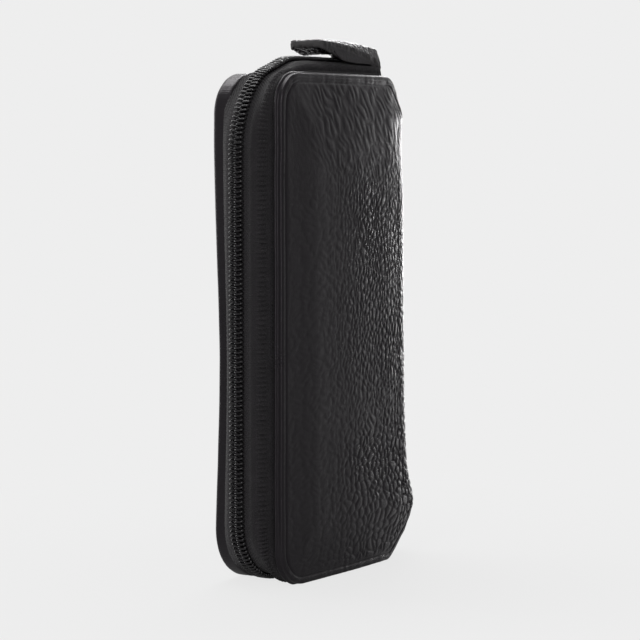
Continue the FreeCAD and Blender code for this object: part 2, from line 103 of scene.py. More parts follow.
class Seed(Enum):
    """Numbers of the patterns, which make each a pattern of its own that is the same on every run."""

    BEND_ACROSS = 3
    BEND_UP = 5
    PATCH = 7
    ROUND = 11
    FINE = 13
    LONG = 17
    FLAT = 23
    TAB = 31
    RAW = 37
    TICK = 41


class Stretch(IntEnum):
    """Stretches of the zip's chain, from its top end to its bottom end."""

    TOP = 0
    TOP_CORNER = 1
    SIDE = 2
    BOTTOM_CORNER = 3
    BOTTOM = 4


def node_box(node: str) -> tuple[Array, Array]:
    """The lowest and highest corner of a CAD node, in millimetres."""
    low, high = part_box(node)
    return np.array(low) / MM, np.array(high) / MM


def ease(low: float, high: float, value: Array) -> Array:
    """A smooth step from 0 at low to 1 at high, read at each value."""
    share = np.clip((value - low) / (high - low), 0.0, 1.0)
    return share * share * (3.0 - 2.0 * share)


def bell(value: Array, middle: float, spread: float, height: float) -> Array:
    """A smooth hump about the middle, down to about a third at its spread, read at each value."""
    return height * np.exp(-(((value - middle) / spread) ** 2))


def corner_fall(along: Array, inset: float, corner: float) -> Array:
    """How far a rounded corner, inset from the outline, falls at distances along its straight edge."""
    across = np.clip(corner - along, 0.0, corner - inset)
    return corner - inset - np.sqrt((corner - inset) ** 2 - across**2)


@dataclass(frozen=True)
class CaseSizes:
    """Sizes and places of the closed case, read from the frame's solids."""

    left: float
    fold: float
    spine: float
    face: float
    turned: float
    lining: float
    height: float
    front_corners: tuple[float, float] = (7.5, 9.0)
    back_corners: tuple[float, float] = (9.5, 12.5)
    top_corner_start: float = 46.2
    top_corner_drop: float = 11.5
    top_corner_reach: float = 8.84
    top_corner_power: float = 2.44
    bottom_corner_start: float = 44.5
    bottom_corner_rise: float = 14.0
    bottom_corner_reach: float = 10.7
    bottom_corner_power: float = 1.6
    flare_offset: float = -1.05
    flare_wide: float = 2.3
    flare_wide_fall: float = 52.0
    flare_foot: float = 4.6
    flare_foot_fall: float = 13.0
    flare_level: float = 12.0
    flare_from: float = 20.0
    heel: float = 3.5
    heel_height: float = 12.5
    heel_spread: float = 7.0
    wing: float = 1.3
    wing_height: float = 107.0
    wing_spread: float = 3.0
    shoulder: float = 0.55
    shoulder_from: float = 92.0
    shoulder_full: float = 104.0
    waist: float = 1.5
    waist_height: float = 50.0
    waist_spread: float = 30.0
    waist_reach: float = 30.0

    @classmethod
    def from_frame(cls) -> "CaseSizes":
        """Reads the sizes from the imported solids.

        Returns:
            The sizes.
        """
        leather_low, leather_high = node_box("back_leather")
        spine_high = node_box("spine_leather")[1]
        lining_low = node_box("back_lining")[0]
        return cls(
            left=leather_low[0],
            fold=leather_high[0],
            spine=spine_high[0],
            face=spine_high[1],
            turned=leather_low[1],
            lining=lining_low[1],
            height=leather_high[2],
        )

    def corners(self, side: Side) -> tuple[float, float]:
        """Radius of a cover's top and bottom corner on the zip side."""
        return self.front_corners if side is Side.FRONT else self.back_corners

    def top_drop(self, along: Array) -> Array:
        """How far the top edge falls at distances from the zip side round the unrolled leather."""
        share = np.maximum(along - self.top_corner_start, 0.0) / self.top_corner_reach
        return self.top_corner_drop * (1.0 - np.exp(-(share**self.top_corner_power)))

    def bottom_rise(self, along: Array) -> Array:
        """How far the bottom edge climbs at distances from the zip side round the unrolled leather."""
        share = np.maximum(along - self.bottom_corner_start, 0.0) / self.bottom_corner_reach
        return self.bottom_corner_rise * (1.0 - np.exp(-(share**self.bottom_corner_power)))

    def settle(self, points: Array) -> Array:
        """Gives leather its worn-in stance: the spine side flares to the foot, the back has a waist.

        Args:
            points: Places on the straight case, as rows.

        Returns:
            The places on the worn-in case.
        """
        moved = points.copy()
        height = points[:, 2]
        level = np.maximum(height, self.flare_level)
        flare = self.flare_offset + self.flare_wide * np.exp(-level / self.flare_wide_fall)
        flare += self.flare_foot * np.exp(-level / self.flare_foot_fall)
        flare += bell(height, self.heel_height, self.heel_spread, self.heel)
        flare += bell(height, self.wing_height, self.wing_spread, self.wing)
        flare += self.shoulder * ease(self.shoulder_from, self.shoulder_full, height)
        moved[:, 0] += flare * ease(self.left + self.flare_from, self.fold, points[:, 0])
        bow = bell(height, self.waist_height, self.waist_spread, self.waist)
        near_zip = 1.0 - ease(self.left, self.left + self.waist_reach, points[:, 0])
        moved[:, 1] -= bow * near_zip * np.clip(points[:, 1] / self.face, 0.0, 1.0)
        return moved


# Patterns worked out on places of the unrolled leather


def lattice_shares(column: Array, row: Array, seed: Seed) -> tuple[Array, Array]:
    """Two even shares for each lattice cell, the same on every run.

    Args:
        column: Whole cell numbers across.
        row: Whole cell numbers up.
        seed: The pattern.

    Returns:
        Two arrays of shares from 0 to 1.
    """
    column_factor = 374761393
    row_factor = 668265263
    seed_factor = 974634777
    mix_factor = 1274126177
    mix_bits = 13
    half_bits = 16
    mask = 0xFFFFFFFF
    half_mask = 0xFFFF
    key = (column * column_factor + row * row_factor + seed.value * seed_factor) & mask
    key = ((key ^ (key >> mix_bits)) * mix_factor) & mask
    key = key ^ (key >> half_bits)
    return (key & half_mask) / half_mask, ((key >> half_bits) & half_mask) / half_mask


def cell_gaps(across: Array, up: Array, seed: Seed) -> tuple[Array, Array]:
    """Distances to the nearest and the second nearest pebble centre.

    Args:
        across: Places across, in cells.
        up: Places up, in cells.
        seed: The pattern.

    Returns:
        The two distances in cells.
    """
    column = np.floor(across).astype(np.int64)
    row = np.floor(up).astype(np.int64)
    nearest = np.full(across.shape, np.inf)
    second = nearest.copy()
    jitter_share = 0.85
    for side_step in (-1, 0, 1):
        for up_step in (-1, 0, 1):
            one, two = lattice_shares(column + side_step, row + up_step, seed)
            centre = column + side_step + 0.5 + (one - 0.5) * jitter_share
            level = row + up_step + 0.5 + (two - 0.5) * jitter_share
            gap = np.hypot(centre - across, level - up)
            second = np.minimum(second, np.maximum(nearest, gap))
            nearest = np.minimum(nearest, gap)
    return nearest, second


def drift(across: Array, up: Array, seed: Seed) -> Array:
    """Smooth noise.

    Args:
        across: Places across, in cells.
        up: Places up, in cells.
        seed: The pattern.

    Returns:
        Values from -1 to 1.
    """
    column = np.floor(across).astype(np.int64)
    row = np.floor(up).astype(np.int64)
    side_share = ease(0.0, 1.0, across - column)
    up_share = ease(0.0, 1.0, up - row)
    corners = [lattice_shares(column + i, row + j, seed)[0] for j in (0, 1) for i in (0, 1)]
    low = corners[0] + (corners[1] - corners[0]) * side_share
    high = corners[2] + (corners[3] - corners[2]) * side_share
    return (low + (high - low) * up_share) * 2.0 - 1.0


@dataclass(frozen=True)
class Pebbles:
    """The tumbled grain of the leather: pebbles, long wrinkles near the top, flat creases by the zip."""

    pebble: float = 1.9
    fine_pebble: float = 1.4
    fine_from: float = 22.0
    fine_full: float = 55.0
    pebble_height_share: float = 1.1
    fine_height_share: float = 1.5
    wrinkle_wide: float = 1.7
    wrinkle_long: float = 6.0
    wrinkle_lean: float = 0.95
    crease_wide: float = 3.6
    crease_tall: float = 1.3
    warp: float = 0.8
    warp_length: float = 3.4
    furrow_share: float = 0.36
    wrinkle_furrow_share: float = 0.6
    top_share: float = 0.3
    middle_share: float = 0.5
    patch: float = 9.0
    patch_share: float = 0.2
    upper_from: float = 82.0
    upper_full: float = 106.0
    upper_share: float = 0.64
    fine_share: float = 0.8
    calm_from: float = 7.0
    calm_to: float = 35.0
    calm_to_above: float = 17.0
    calm_share: float = 0.26

    def domes(self, across: Array, up: Array, furrow: float, seed: Seed) -> Array:
        """Rounded pebbles parted by furrows.

        Args:
            across: Places across, in cells.
            up: Places up, in cells.
            furrow: Width of a furrow, in cells.
            seed: The pattern.

        Returns:
            Heights from 0 in the furrows to about 1.
        """
        nearest, second = cell_gaps(across, up, seed)
        flank = ease(0.0, furrow, second - nearest)
        dome = np.maximum(1.0 - nearest**2, 0.0)
        return flank + (dome - flank) * self.top_share

    def height(self, along: Array, level: Array, panel: Array) -> Array:
        """The grain over the unrolled leather.

        Args:
            along: Distance round the unrolled leather.
            level: Height above the ground.
            panel: Distance from the zip-side edge of the nearer cover.

        Returns:
            Heights about 0, of about 1 in all, calmer by the zip.
        """
        warp_at = (along / self.warp_length, level / self.warp_length)
        x = along + drift(*warp_at, Seed.BEND_ACROSS) * self.warp
        z = level + drift(*warp_at, Seed.BEND_UP) * self.warp
        tall = self.pebble * self.pebble_height_share
        round_ones = self.domes(x / self.pebble, z / tall, self.furrow_share, Seed.ROUND)
        fine_tall = self.fine_pebble * self.fine_height_share
        fine_ones = self.domes(x / self.fine_pebble, z / fine_tall, self.furrow_share, Seed.FINE)
        lean = x * math.cos(self.wrinkle_lean) - z * math.sin(self.wrinkle_lean)
        side = x * math.sin(self.wrinkle_lean) + z * math.cos(self.wrinkle_lean)
        furrow = self.wrinkle_furrow_share
        long_ones = self.domes(side / self.wrinkle_wide, lean / self.wrinkle_long, furrow, Seed.LONG)
        flat_ones = self.domes(x / self.crease_wide, z / self.crease_tall, furrow, Seed.FLAT)
        upper = ease(self.upper_from, self.upper_full, level)
        calm_to = self.calm_to + (self.calm_to_above - self.calm_to) * upper
        calm = 1.0 - ease(self.calm_from, calm_to, panel)
        fine = ease(self.fine_from, self.fine_full, level)
        grain = round_ones + (fine_ones - round_ones) * fine
        grain = grain + (long_ones - grain) * upper
        grain = grain + (flat_ones - grain) * calm * (1.0 - upper)
        strength = 1.0 + self.patch_share * drift(along / self.patch, level / self.patch, Seed.PATCH)
        strength = strength * (1.0 - fine * (1.0 - self.fine_share))
        strength = strength * (1.0 - upper * (1.0 - self.upper_share))
        return (grain - self.middle_share) * strength * (1.0 - calm * (1.0 - self.calm_share))


# Meshes


def grid_faces(columns: int, rows: int, first: int = 0) -> list[list[int]]:
    """Four corners for each face of a grid of points kept column by column, from the first index on."""
    start = first + np.arange((columns - 1) * rows).reshape(columns - 1, rows)[:, :-1].ravel()
    return np.stack([start, start + rows, start + rows + 1, start + 1], axis=1).tolist()


def unit(vectors: Array) -> Array:
    """Vectors of length 1 along the given rows."""
    return vectors / np.maximum(np.linalg.norm(vectors, axis=-1, keepdims=True), TINY)


def round_edge(steps: int) -> tuple[tuple[float, float], ...]:
    """Reach and rise shares of a half round edge, from behind the face's border to the back."""
    turns = np.linspace(math.pi / 2, -math.pi / 2, steps + 1)[1:]
    return tuple((math.cos(turn), math.sin(turn)) for turn in turns)


def column_points(x: Array, y: Array, z: Array) -> Array:
    """Points of a grid whose columns each have one X and one Y, with Z as columns of heights."""
    wide, deep = (np.broadcast_to(values[:, None], z.shape) for values in (x, y))
    return np.stack([wide, deep, z], axis=-1)


def closed_sheet(
    points: Array,
    normals: Array,
    roll: float,
    flange: float,
    edge_profile: tuple[tuple[float, float], ...],
    panel_depth: float | None = None,
) -> Mesh:
    """Closes a grid into a sheet whose first column, bottom and top are rolled over.

    Args:
        points: Outer face as columns of points, the last one on a plane where another sheet goes on.
        normals: Outward directions of the points.
        roll: Radius of the rolled edge, half the sheet's thickness.
        flange: Width of the border that is turned in behind the roll.
        edge_profile: Reach and rise shares of the roll, from behind the face's border to the back.
        panel_depth: Depth of the inner panel behind the face, where the roll is thicker than the sheet.

    Returns:
        Points and faces of the closed sheet.
    """
    columns, rows = points.shape[:2]
    index = np.arange(columns * rows).reshape(columns, rows)
    path = np.concatenate([index[::-1, 0], index[0, 1:-1], index[:, -1]])
    places = points.reshape(-1, 3)
    edge = places[path]
    face = normals.reshape(-1, 3)[path]
    way = unit(np.gradient(edge, axis=0))
    outward = unit(np.cross(way, face))
    if np.sum(outward * (edge - places.mean(axis=0))) < 0:
        outward = -outward
    # Rings round the roll, the turned border and the inner panel
    rings = [edge - face * roll + (outward * reach + face * rise) * roll for reach, rise in edge_profile]
    rings.append(edge - face * roll * 2 - outward * flange)
    if panel_depth is not None:
        rings.append(edge - face * panel_depth - outward * flange)
    faces = grid_faces(columns, rows)
    count = len(path)
    ring_index = [path]
    for number in range(len(rings)):
        ring_index.append(columns * rows + number * count + np.arange(count))
    for near, far in zip(ring_index, ring_index[1:]):
        faces += np.stack([near[:-1], near[1:], far[1:], far[:-1]], axis=1).tolist()
    # The inner panel, in strips so that it follows where the sheet is bent later
    inner = ring_index[-1]
    bottom = inner[:columns][::-1]
    top = inner[-columns:]
    edge_column = inner[columns:-columns]
    shares = np.linspace(0.0, 1.0, PANEL_STRIPS + 1)[1:-1]
    low_line = rings[-1][:columns][::-1][1:, None]
    high_line = rings[-1][-columns:][1:, None]
    panel = low_line + (high_line - low_line) * shares[None, :, None]
    first = columns * rows + len(rings) * count
    panel_index = first + np.arange((columns - 1) * len(shares)).reshape(columns - 1, -1)
    lines = np.concatenate([bottom[1:, None], panel_index, top[1:, None]], axis=1)
    for left, right in zip(lines, lines[1:]):
        faces += np.stack([left[:-1], right[:-1], right[1:], left[1:]], axis=1).tolist()
    faces.append([bottom[0], *edge_column.tolist(), top[0], *lines[0][::-1].tolist()])
    # The cap on the plane of the last column
    cap = index[-1].tolist()
    cap += [int(ring[-1]) for ring in ring_index[1:]]
    cap += lines[-1][1:-1][::-1].tolist()
    cap += [int(ring[0]) for ring in reversed(ring_index[1:])]
    faces.append(cap)
    sheet = np.concatenate([places, *rings, panel.reshape(-1, 3)])
    return sheet, [[int(corner) for corner in f] for f in faces]


def loft(rings: Array) -> Mesh:
    """A closed body through rings of points.

    Args:
        rings: Rings with equally many points, in order.

    Returns:
        Points and faces of the body.
    """
    stations, count = rings.shape[:2]
    start = np.arange(stations - 1) * count
    faces = []
    for number in range(count):
        follow = (number + 1) % count
        strip = [start + number, start + follow, start + count + follow, start + count + number]
        faces += np.stack(strip, axis=1).tolist()
    last = (stations - 1) * count
    faces.append(list(range(count))[::-1])
    faces.append(list(range(last, last + count)))
    return rings.reshape(-1, 3), faces


def tube(line: Array, radius: float, sides: int) -> Mesh:
    """A round wire along a line, closed at both ends.

    Args:
        line: Points of the wire's middle.
        radius: Radius of the wire.
        sides: Number of sides.

    Returns:
        Points and faces of the wire.
    """
    aside = np.array([0.31, 0.17, 0.53])
    way = unit(np.gradient(line, axis=0))
    across = unit(np.cross(way, np.roll(way, 1, axis=1) + aside))
    for number in range(1, len(across)):
        straight = across[number - 1] - way[number] * np.dot(across[number - 1], way[number])
        across[number] = straight / max(np.linalg.norm(straight), TINY)
    other = np.cross(way, across)
    angles = np.arange(sides) * math.tau / sides
    rings = line[:, None] + radius * (
        across[:, None] * np.cos(angles)[None, :, None] + other[:, None] * np.sin(angles)[None, :, None]
    )
    return loft(rings)


def joined(meshes: list[Mesh]) -> Mesh:
    """One mesh of several.

    Args:
        meshes: Points and faces of each.

    Returns:
        Points and faces of all.
    """
    points = []
    faces = []
    count = 0
    for some_points, some_faces in meshes:
        points.append(some_points)
        faces += [[corner + count for corner in face] for face in some_faces]
        count += len(some_points)
    return np.concatenate(points), faces


def add_piece(name: str, mesh: Mesh) -> Piece:
    """Makes an object of a mesh in millimetres.

    Args:
        name: The piece's name.
        mesh: Points and faces.

    Returns:
        The object, smooth and with its faces turned outwards.
    """
    points, faces = mesh
    data = bpy.data.meshes.new(name)
    data.from_pydata((points * MM).tolist(), [], faces)
    shell = bmesh.new()
    shell.from_mesh(data)
    bmesh.ops.recalc_face_normals(shell, faces=shell.faces[:])
    shell.to_mesh(data)
    shell.free()
    data.shade_smooth()
    data.update()
    piece = bpy.data.objects.new(name, data)
    bpy.context.scene.collection.objects.link(piece)
    return piece


def lay_cut_map(piece: Piece, places: Array) -> None:
    """Lays the map of the flat cut on a piece, in metres.

    Args:
        piece: The piece.
        places: Two millimetre places for each point.
    """
    corners = np.empty(len(piece.data.loops), dtype=np.int32)
    piece.data.loops.foreach_get("vertex_index", corners)
    layer = piece.data.uv_layers.new(name=CUT_MAP)
    layer.data.foreach_set("uv", (places[corners] * MM).astype(np.float32).ravel())


def keep_values(piece: Piece, name: str, values: Array) -> None:
    """Keeps one number for each point of a piece under a name, for its material to read."""
    kept = piece.data.attributes.new(name, "FLOAT", "POINT")
    kept.data.foreach_set("value", values.astype(np.float32))


def mesh_of(shell: bmesh.types.BMesh) -> Mesh:
    """Takes the points and faces of a shell, which is then freed.

    Args:
        shell: The shell.

    Returns:
        Points, in the shell's unit, and faces.
    """
    shell.verts.index_update()
    points = np.array([vertex.co[:] for vertex in shell.verts])
    faces = [[vertex.index for vertex in face.verts] for face in shell.faces]
    shell.free()
    return points, faces


def cut_block(outline: list[tuple[float, float]], low: float, high: float, bevel: float) -> Mesh:
    """A flat piece cut to an outline, with softened edges.

    Args:
        outline: X and Z points.
        low: Its lowest Y.
        high: Its highest Y.
        bevel: Width of the softened edges.

    Returns:
        Points and faces of the piece.
    """
    segments = 2
    profile_share = 0.6
    shell = bmesh.new()
    corners = [shell.verts.new((x * MM, low * MM, z * MM)) for x, z in outline]
    face = shell.faces.new(corners)
    grown = bmesh.ops.extrude_face_region(shell, geom=[face])
    moved = [item for item in grown["geom"] if isinstance(item, bmesh.types.BMVert)]
    bmesh.ops.translate(shell, verts=moved, vec=(0.0, (high - low) * MM, 0.0))
    bmesh.ops.recalc_face_normals(shell, faces=shell.faces[:])
    edges = shell.edges[:]
    bmesh.ops.bevel(
        shell, geom=edges, offset=bevel * MM, segments=segments, profile=profile_share, affect="EDGES"
    )
    points, faces = mesh_of(shell)
    return points / MM, faces


def mount(piece: Piece, body: str, finish: Material, slot: Slot, *nodes: str) -> None:
    """Dresses a piece, lets it stand for CAD nodes and sets it on a CAD body."""
    dress(piece, finish, slot, *nodes)
    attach(piece, body)


def dress(piece: Piece, finish: Material, slot: Slot, *nodes: str) -> None:
    """Gives a piece its material, logs the record's slot of it and lets it stand for CAD nodes.

    Args:
        piece: The piece.
        finish: Its material.
        slot: The record's slot of that finish.
        nodes: CAD nodes that it stands for.
    """
    piece.data.materials.clear()
    piece.data.materials.append(finish)
    if nodes:
        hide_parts(*nodes)
    log.info("%s: %d faces, %s", piece.name, len(piece.data.polygons), slot.value)


# Shader nodes


class NodeBoard:
    """Adds and wires the nodes of one tree."""

    def __init__(self, tree: bpy.types.NodeTree) -> None:
        """Keeps the tree, emptied."""
        self.tree = tree
        tree.nodes.clear()

    def feed(self, socket: Socket, value: object) -> None:
        """Links a socket to another, or sets its own value.

        Args:
            socket: The input.
            value: An output, or a number or colour.
        """
        if isinstance(value, Socket):
            self.tree.links.new(value, socket)
        elif socket.type == "RGBA":
            socket.default_value = (*value, 1.0)
        else:
            socket.default_value = value

    def add(
        self, kind: str, inputs: dict[object, object] | None = None, **settings: object
    ) -> bpy.types.Node:
        """Adds a node.

        Args:
            kind: Its type.
            inputs: What feeds its inputs, by name or number.
            settings: Its own settings.

        Returns:
            The node.
        """
        node = self.tree.nodes.new(kind)
        for name, value in settings.items():
            setattr(node, name, value)
        self.wire(node, inputs or {})
        return node

    def wire(self, node: bpy.types.Node, inputs: dict[object, object]) -> None:
        """Feeds inputs of a node, by name or number."""
        for name, value in inputs.items():
            self.feed(node.inputs[name], value)

    def sum(self, operation: str, first: object, second: object = 0.0) -> Socket:
        """The result of a Math node."""
        return self.add("ShaderNodeMath", {0: first, 1: second}, operation=operation).outputs[0]

    def between(self, share: object, low: float, high: float) -> Socket:
        """A value from low to high, by a share from 0 to 1."""
        node = self.add("ShaderNodeMapRange", {"Value": share, "To Min": low, "To Max": high})
        return node.outputs["Result"]

    def step(
        self, value: object, low: float, high: float, first: float = 0.0, last: float = 1.0
    ) -> Socket:
        """A smooth step.

        Args:
            value: Where it is read.
            low: Where it leaves its first value.
            high: Where it reaches its last value.
            first: Its first value.
            last: Its last value.

        Returns:
            The step.
        """
        limits = {"From Min": low, "From Max": high, "To Min": first, "To Max": last}
        node = self.add("ShaderNodeMapRange", {"Value": value, **limits}, interpolation_type="SMOOTHSTEP")
        return node.outputs["Result"]

    def mix(self, share: object, low: object, high: object) -> Socket:
        """A number between two numbers, each given or from an output, by a share from 0 to 1."""
        return self.add("ShaderNodeMix", {0: share, 2: low, 3: high}).outputs[0]

    def tint(self, share: object, low: object, high: object) -> Socket:
        """A colour between two colours.

        Args:
            share: From 0 to 1.
            low: The colour at 0, or an output that gives it.
            high: The colour at 1, or an output that gives it.

        Returns:
            The colour.
        """
        node = self.add("ShaderNodeMix", data_type="RGBA")
        share_in, low_in, high_in = [socket for socket in node.inputs if socket.enabled]
        for socket, value in ((share_in, share), (low_in, low), (high_in, high)):
            self.feed(socket, value)
        return next(socket for socket in node.outputs if socket.enabled)

    def noise(self, place: object, scale: object, detail: float = 2.0) -> Socket:
        """Soft noise from 0 to 1, with its spots per metre as scale and its finer layers as detail."""
        node = self.add("ShaderNodeTexNoise", {"Vector": place, "Scale": scale, "Detail": detail})
        return node.outputs["Fac"]


class SharedEffect:
    """A shader node group that several materials place."""

    def __init__(self, name: str, inputs: dict[str, str], outputs: dict[str, str]) -> None:
        """Makes the group and its sockets.

        Args:
            name: The group's name.
            inputs: Socket types by input name.
            outputs: Socket types by output name.
        """
        self.tree = bpy.data.node_groups.new(name, "ShaderNodeTree")
        self.board = NodeBoard(self.tree)
        for way, sockets in (("INPUT", inputs), ("OUTPUT", outputs)):
            for socket, kind in sockets.items():
                self.tree.interface.new_socket(name=socket, in_out=way, socket_type=kind)
        self.given = self.board.add("NodeGroupInput").outputs
        self.result = self.board.add("NodeGroupOutput").inputs

    def place(self, board: NodeBoard, inputs: dict[str, object]) -> bpy.types.Node:
        """Places the group on a material's board, fed by the inputs."""
        return board.add("ShaderNodeGroup", inputs, node_tree=self.tree)


VECTOR = "NodeSocketVector"
FLOAT = "NodeSocketFloat"
FINE_DETAIL = 3.0


def make_pores() -> SharedEffect:
    """Fine hair pores and skin lines of leather.

    Returns:
        The group, with Place and Pores as inputs and Height and Tone as outputs.
    """
    line_share = 0.22
    speckle_scale_share = 1.7
    speckle_share = 0.8
    tone_scale_share = 0.04
    outputs = {"Height": FLOAT, "Tone": FLOAT}
    effect = SharedEffect("leather_pores", {"Place": VECTOR, "Pores": FLOAT}, outputs)
    board = effect.board
    place, pores = effect.given["Place"], effect.given["Pores"]
    cells = board.add(
        "ShaderNodeTexVoronoi", {"Vector": place, "Scale": pores}, feature="DISTANCE_TO_EDGE"
    ).outputs["Distance"]
    lines = board.step(cells, 0.0, line_share)
    speckle = board.noise(place, board.sum("MULTIPLY", pores, speckle_scale_share), FINE_DETAIL)
    height = board.sum("ADD", lines, board.sum("MULTIPLY", speckle, speckle_share))
    tone = board.noise(place, board.sum("MULTIPLY", pores, tone_scale_share), FINE_DETAIL)
    board.feed(effect.result["Height"], height)
    board.feed(effect.result["Tone"], tone)
    return effect


def make_weave() -> SharedEffect:
    """Threads that cross over and under each other.

    Returns:
        The group, with Place and Threads as inputs and Height and Tone as outputs.
    """
    fuzz_scale_share = 3.0
    fuzz_share = 0.5
    tone_scale_share = 0.12
    outputs = {"Height": FLOAT, "Tone": FLOAT}
    effect = SharedEffect("woven_threads", {"Place": VECTOR, "Threads": FLOAT}, outputs)
    board = effect.board
    place, threads = effect.given["Place"], effect.given["Threads"]
    scaled = board.add("ShaderNodeVectorMath", {0: place, "Scale": threads}, operation="SCALE").outputs[0]
    parts = board.add("ShaderNodeSeparateXYZ", {0: scaled}).outputs
    rounds = []
    cells = []
    for part in (parts["X"], parts["Y"]):
        wave = board.sum("SINE", board.sum("MULTIPLY", part, math.pi))
        rounds.append(board.sum("ABSOLUTE", wave))
        cells.append(board.sum("FLOOR", part))
    over = board.sum("FLOORED_MODULO", board.sum("ADD", cells[0], cells[1]), 2.0)
    under = board.sum("SUBTRACT", 1.0, over)
    height = board.sum(
        "ADD", board.sum("MULTIPLY", rounds[0], over), board.sum("MULTIPLY", rounds[1], under)
    )
    fuzz = board.noise(place, board.sum("MULTIPLY", threads, fuzz_scale_share))
    tone = board.noise(place, board.sum("MULTIPLY", threads, tone_scale_share), FINE_DETAIL)
    board.feed(effect.result["Height"], board.sum("ADD", height, board.sum("MULTIPLY", fuzz, fuzz_share)))
    board.feed(effect.result["Tone"], tone)
    return effect


def make_marks() -> SharedEffect:
    """Smudges and light rubbing from handling.

    Returns:
        The group, with Place and Spots as inputs and Mask as output.
    """
    cloud_detail = 5.0
    mark_share = 0.4
    full_mark_share = 0.7
    effect = SharedEffect("handling_marks", {"Place": VECTOR, "Spots": FLOAT}, {"Mask": FLOAT})
    board = effect.board
    cloud = board.noise(effect.given["Place"], effect.given["Spots"], cloud_detail)
    board.feed(effect.result["Mask"], board.step(cloud, mark_share, full_mark_share))
    return effect


@dataclass(frozen=True)
class Effects:
    """The effects that the finishes share."""

    pores: SharedEffect
    weave: SharedEffect
    marks: SharedEffect


def new_material(name: str) -> tuple[Material, NodeBoard, bpy.types.Node]:
    """Starts a material.

    Args:
        name: Its name.

    Returns:
        The material, its board and its Principled BSDF.
    """
    material = bpy.data.materials.new(name)
    material.use_nodes = True
    board = NodeBoard(material.node_tree)
    shader = board.add("ShaderNodeBsdfPrincipled")
    board.add("ShaderNodeOutputMaterial", {"Surface": shader.outputs["BSDF"]})
    return material, board, shader


def cut_place(board: NodeBoard) -> Socket:
    """Places on the flat cut, in metres."""
    return board.add("ShaderNodeUVMap", uv_map=CUT_MAP).outputs["UV"]


def solid_place(board: NodeBoard) -> Socket:
    """Places in the piece's own frame, in metres."""
    return board.add("ShaderNodeTexCoord").outputs["Object"]


def bump(board: NodeBoard, shader: bpy.types.Node, height: object, depth: float, strength: float) -> None:
    """Feeds a height from 0 to about 1 to a shader's normal, where 1 is depth millimetres."""
    node = board.add("ShaderNodeBump", {"Height": height, "Distance": depth * MM, "Strength": strength})
    board.feed(shader.inputs["Normal"], node.outputs["Normal"])


BLACK = (0.0085, 0.0072, 0.0088)
# The lighter black of the pebble tops: painted light on the grain.
LIT_TOP_BLACK = (0.013, 0.0114, 0.0133)
TAPE_BLACK = (0.0085, 0.007, 0.0087)


@dataclass(frozen=True)
class LeatherFinish:
    """Black leather: pebble tops rubbed smoother than the furrows between them, with painted shade
    darkening the furrows and painted light lifting the tops.
    """

    name: str
    furrow_roughness: float
    top_roughness: float
    pores: float
    pore_depth: float
    furrow: Colour = BLACK
    top: Colour = LIT_TOP_BLACK
    specular: float = 0.5
    bump_share: float = 0.6
    has_pebbles: bool = True
    raw: Colour | None = None
    raw_roughness: float = 0.8
    shine: Colour = (1.0, 0.93, 1.0)
    mark_spots: float = 60.0
    mark_roughness: float = 0.07

    def material(self, effects: Effects) -> Material:
        """Makes the material.

        Args:
            effects: The shared effects.

        Returns:
            The material.
        """
        material, board, shader = new_material(self.name)
        place = cut_place(board)
        skin = effects.pores.place(board, {"Place": place, "Pores": self.pores})
        rubbed = effects.marks.place(board, {"Place": place, "Spots": self.mark_spots}).outputs["Mask"]
        if self.has_pebbles:
            pebble_lift_and_shade = board.add("ShaderNodeAttribute", attribute_name=PEBBLE).outputs["Fac"]
        else:
            pebble_lift_and_shade = skin.outputs["Tone"]
        roughness = board.between(pebble_lift_and_shade, self.furrow_roughness, self.top_roughness)
        roughness = board.sum("SUBTRACT", roughness, board.sum("MULTIPLY", rubbed, self.mark_roughness))
        # Colour runs from the furrow black to the lighter top black by the pebbles' height: painted shade
        # in the furrows, painted light on the tops.
        colour = board.tint(pebble_lift_and_shade, self.furrow, self.top)
        if self.raw is not None:
            cut = board.add("ShaderNodeAttribute", attribute_name=RAW_EDGE).outputs["Fac"]
            colour = board.tint(cut, colour, self.raw)
            roughness = board.sum("MAXIMUM", roughness, board.sum("MULTIPLY", cut, self.raw_roughness))
        board.wire(shader, {"Base Color": colour, "Roughness": roughness})
        board.wire(shader, {"Specular IOR Level": self.specular, "Specular Tint": self.shine})
        bump(board, shader, skin.outputs["Height"], self.pore_depth, self.bump_share)
        return material


@dataclass(frozen=True)
class ClothFinish:
    """Woven cloth with thread relief and a soft sheen."""

    name: str
    dark: Colour
    light: Colour
    roughness: float
    specular: float
    threads: float
    thread_depth: float
    sheen: float = 0.1
    bump_share: float = 0.8
    on_cut: bool = True

    def material(self, effects: Effects) -> Material:
        """Makes the material.

        Args:
            effects: The shared effects.

        Returns:
            The material.
        """
        material, board, shader = new_material(self.name)
        place = cut_place(board) if self.on_cut else solid_place(board)
        weave = effects.weave.place(board, {"Place": place, "Threads": self.threads})
        # Thread crowns are painted lighter and the hollows between them darker, varied by the random tone:
        # painted shade and highlights on the weave.
        shade = board.sum("MULTIPLY", weave.outputs["Height"], weave.outputs["Tone"])
        colour = board.tint(shade, self.dark, self.light)
        roughness = board.between(weave.outputs["Tone"], self.roughness, 1.0)
        board.wire(shader, {"Base Color": colour, "Roughness": roughness})
        board.wire(shader, {"Specular IOR Level": self.specular, "Sheen Weight": self.sheen})
        bump(board, shader, weave.outputs["Height"], self.thread_depth, self.bump_share)
        return material


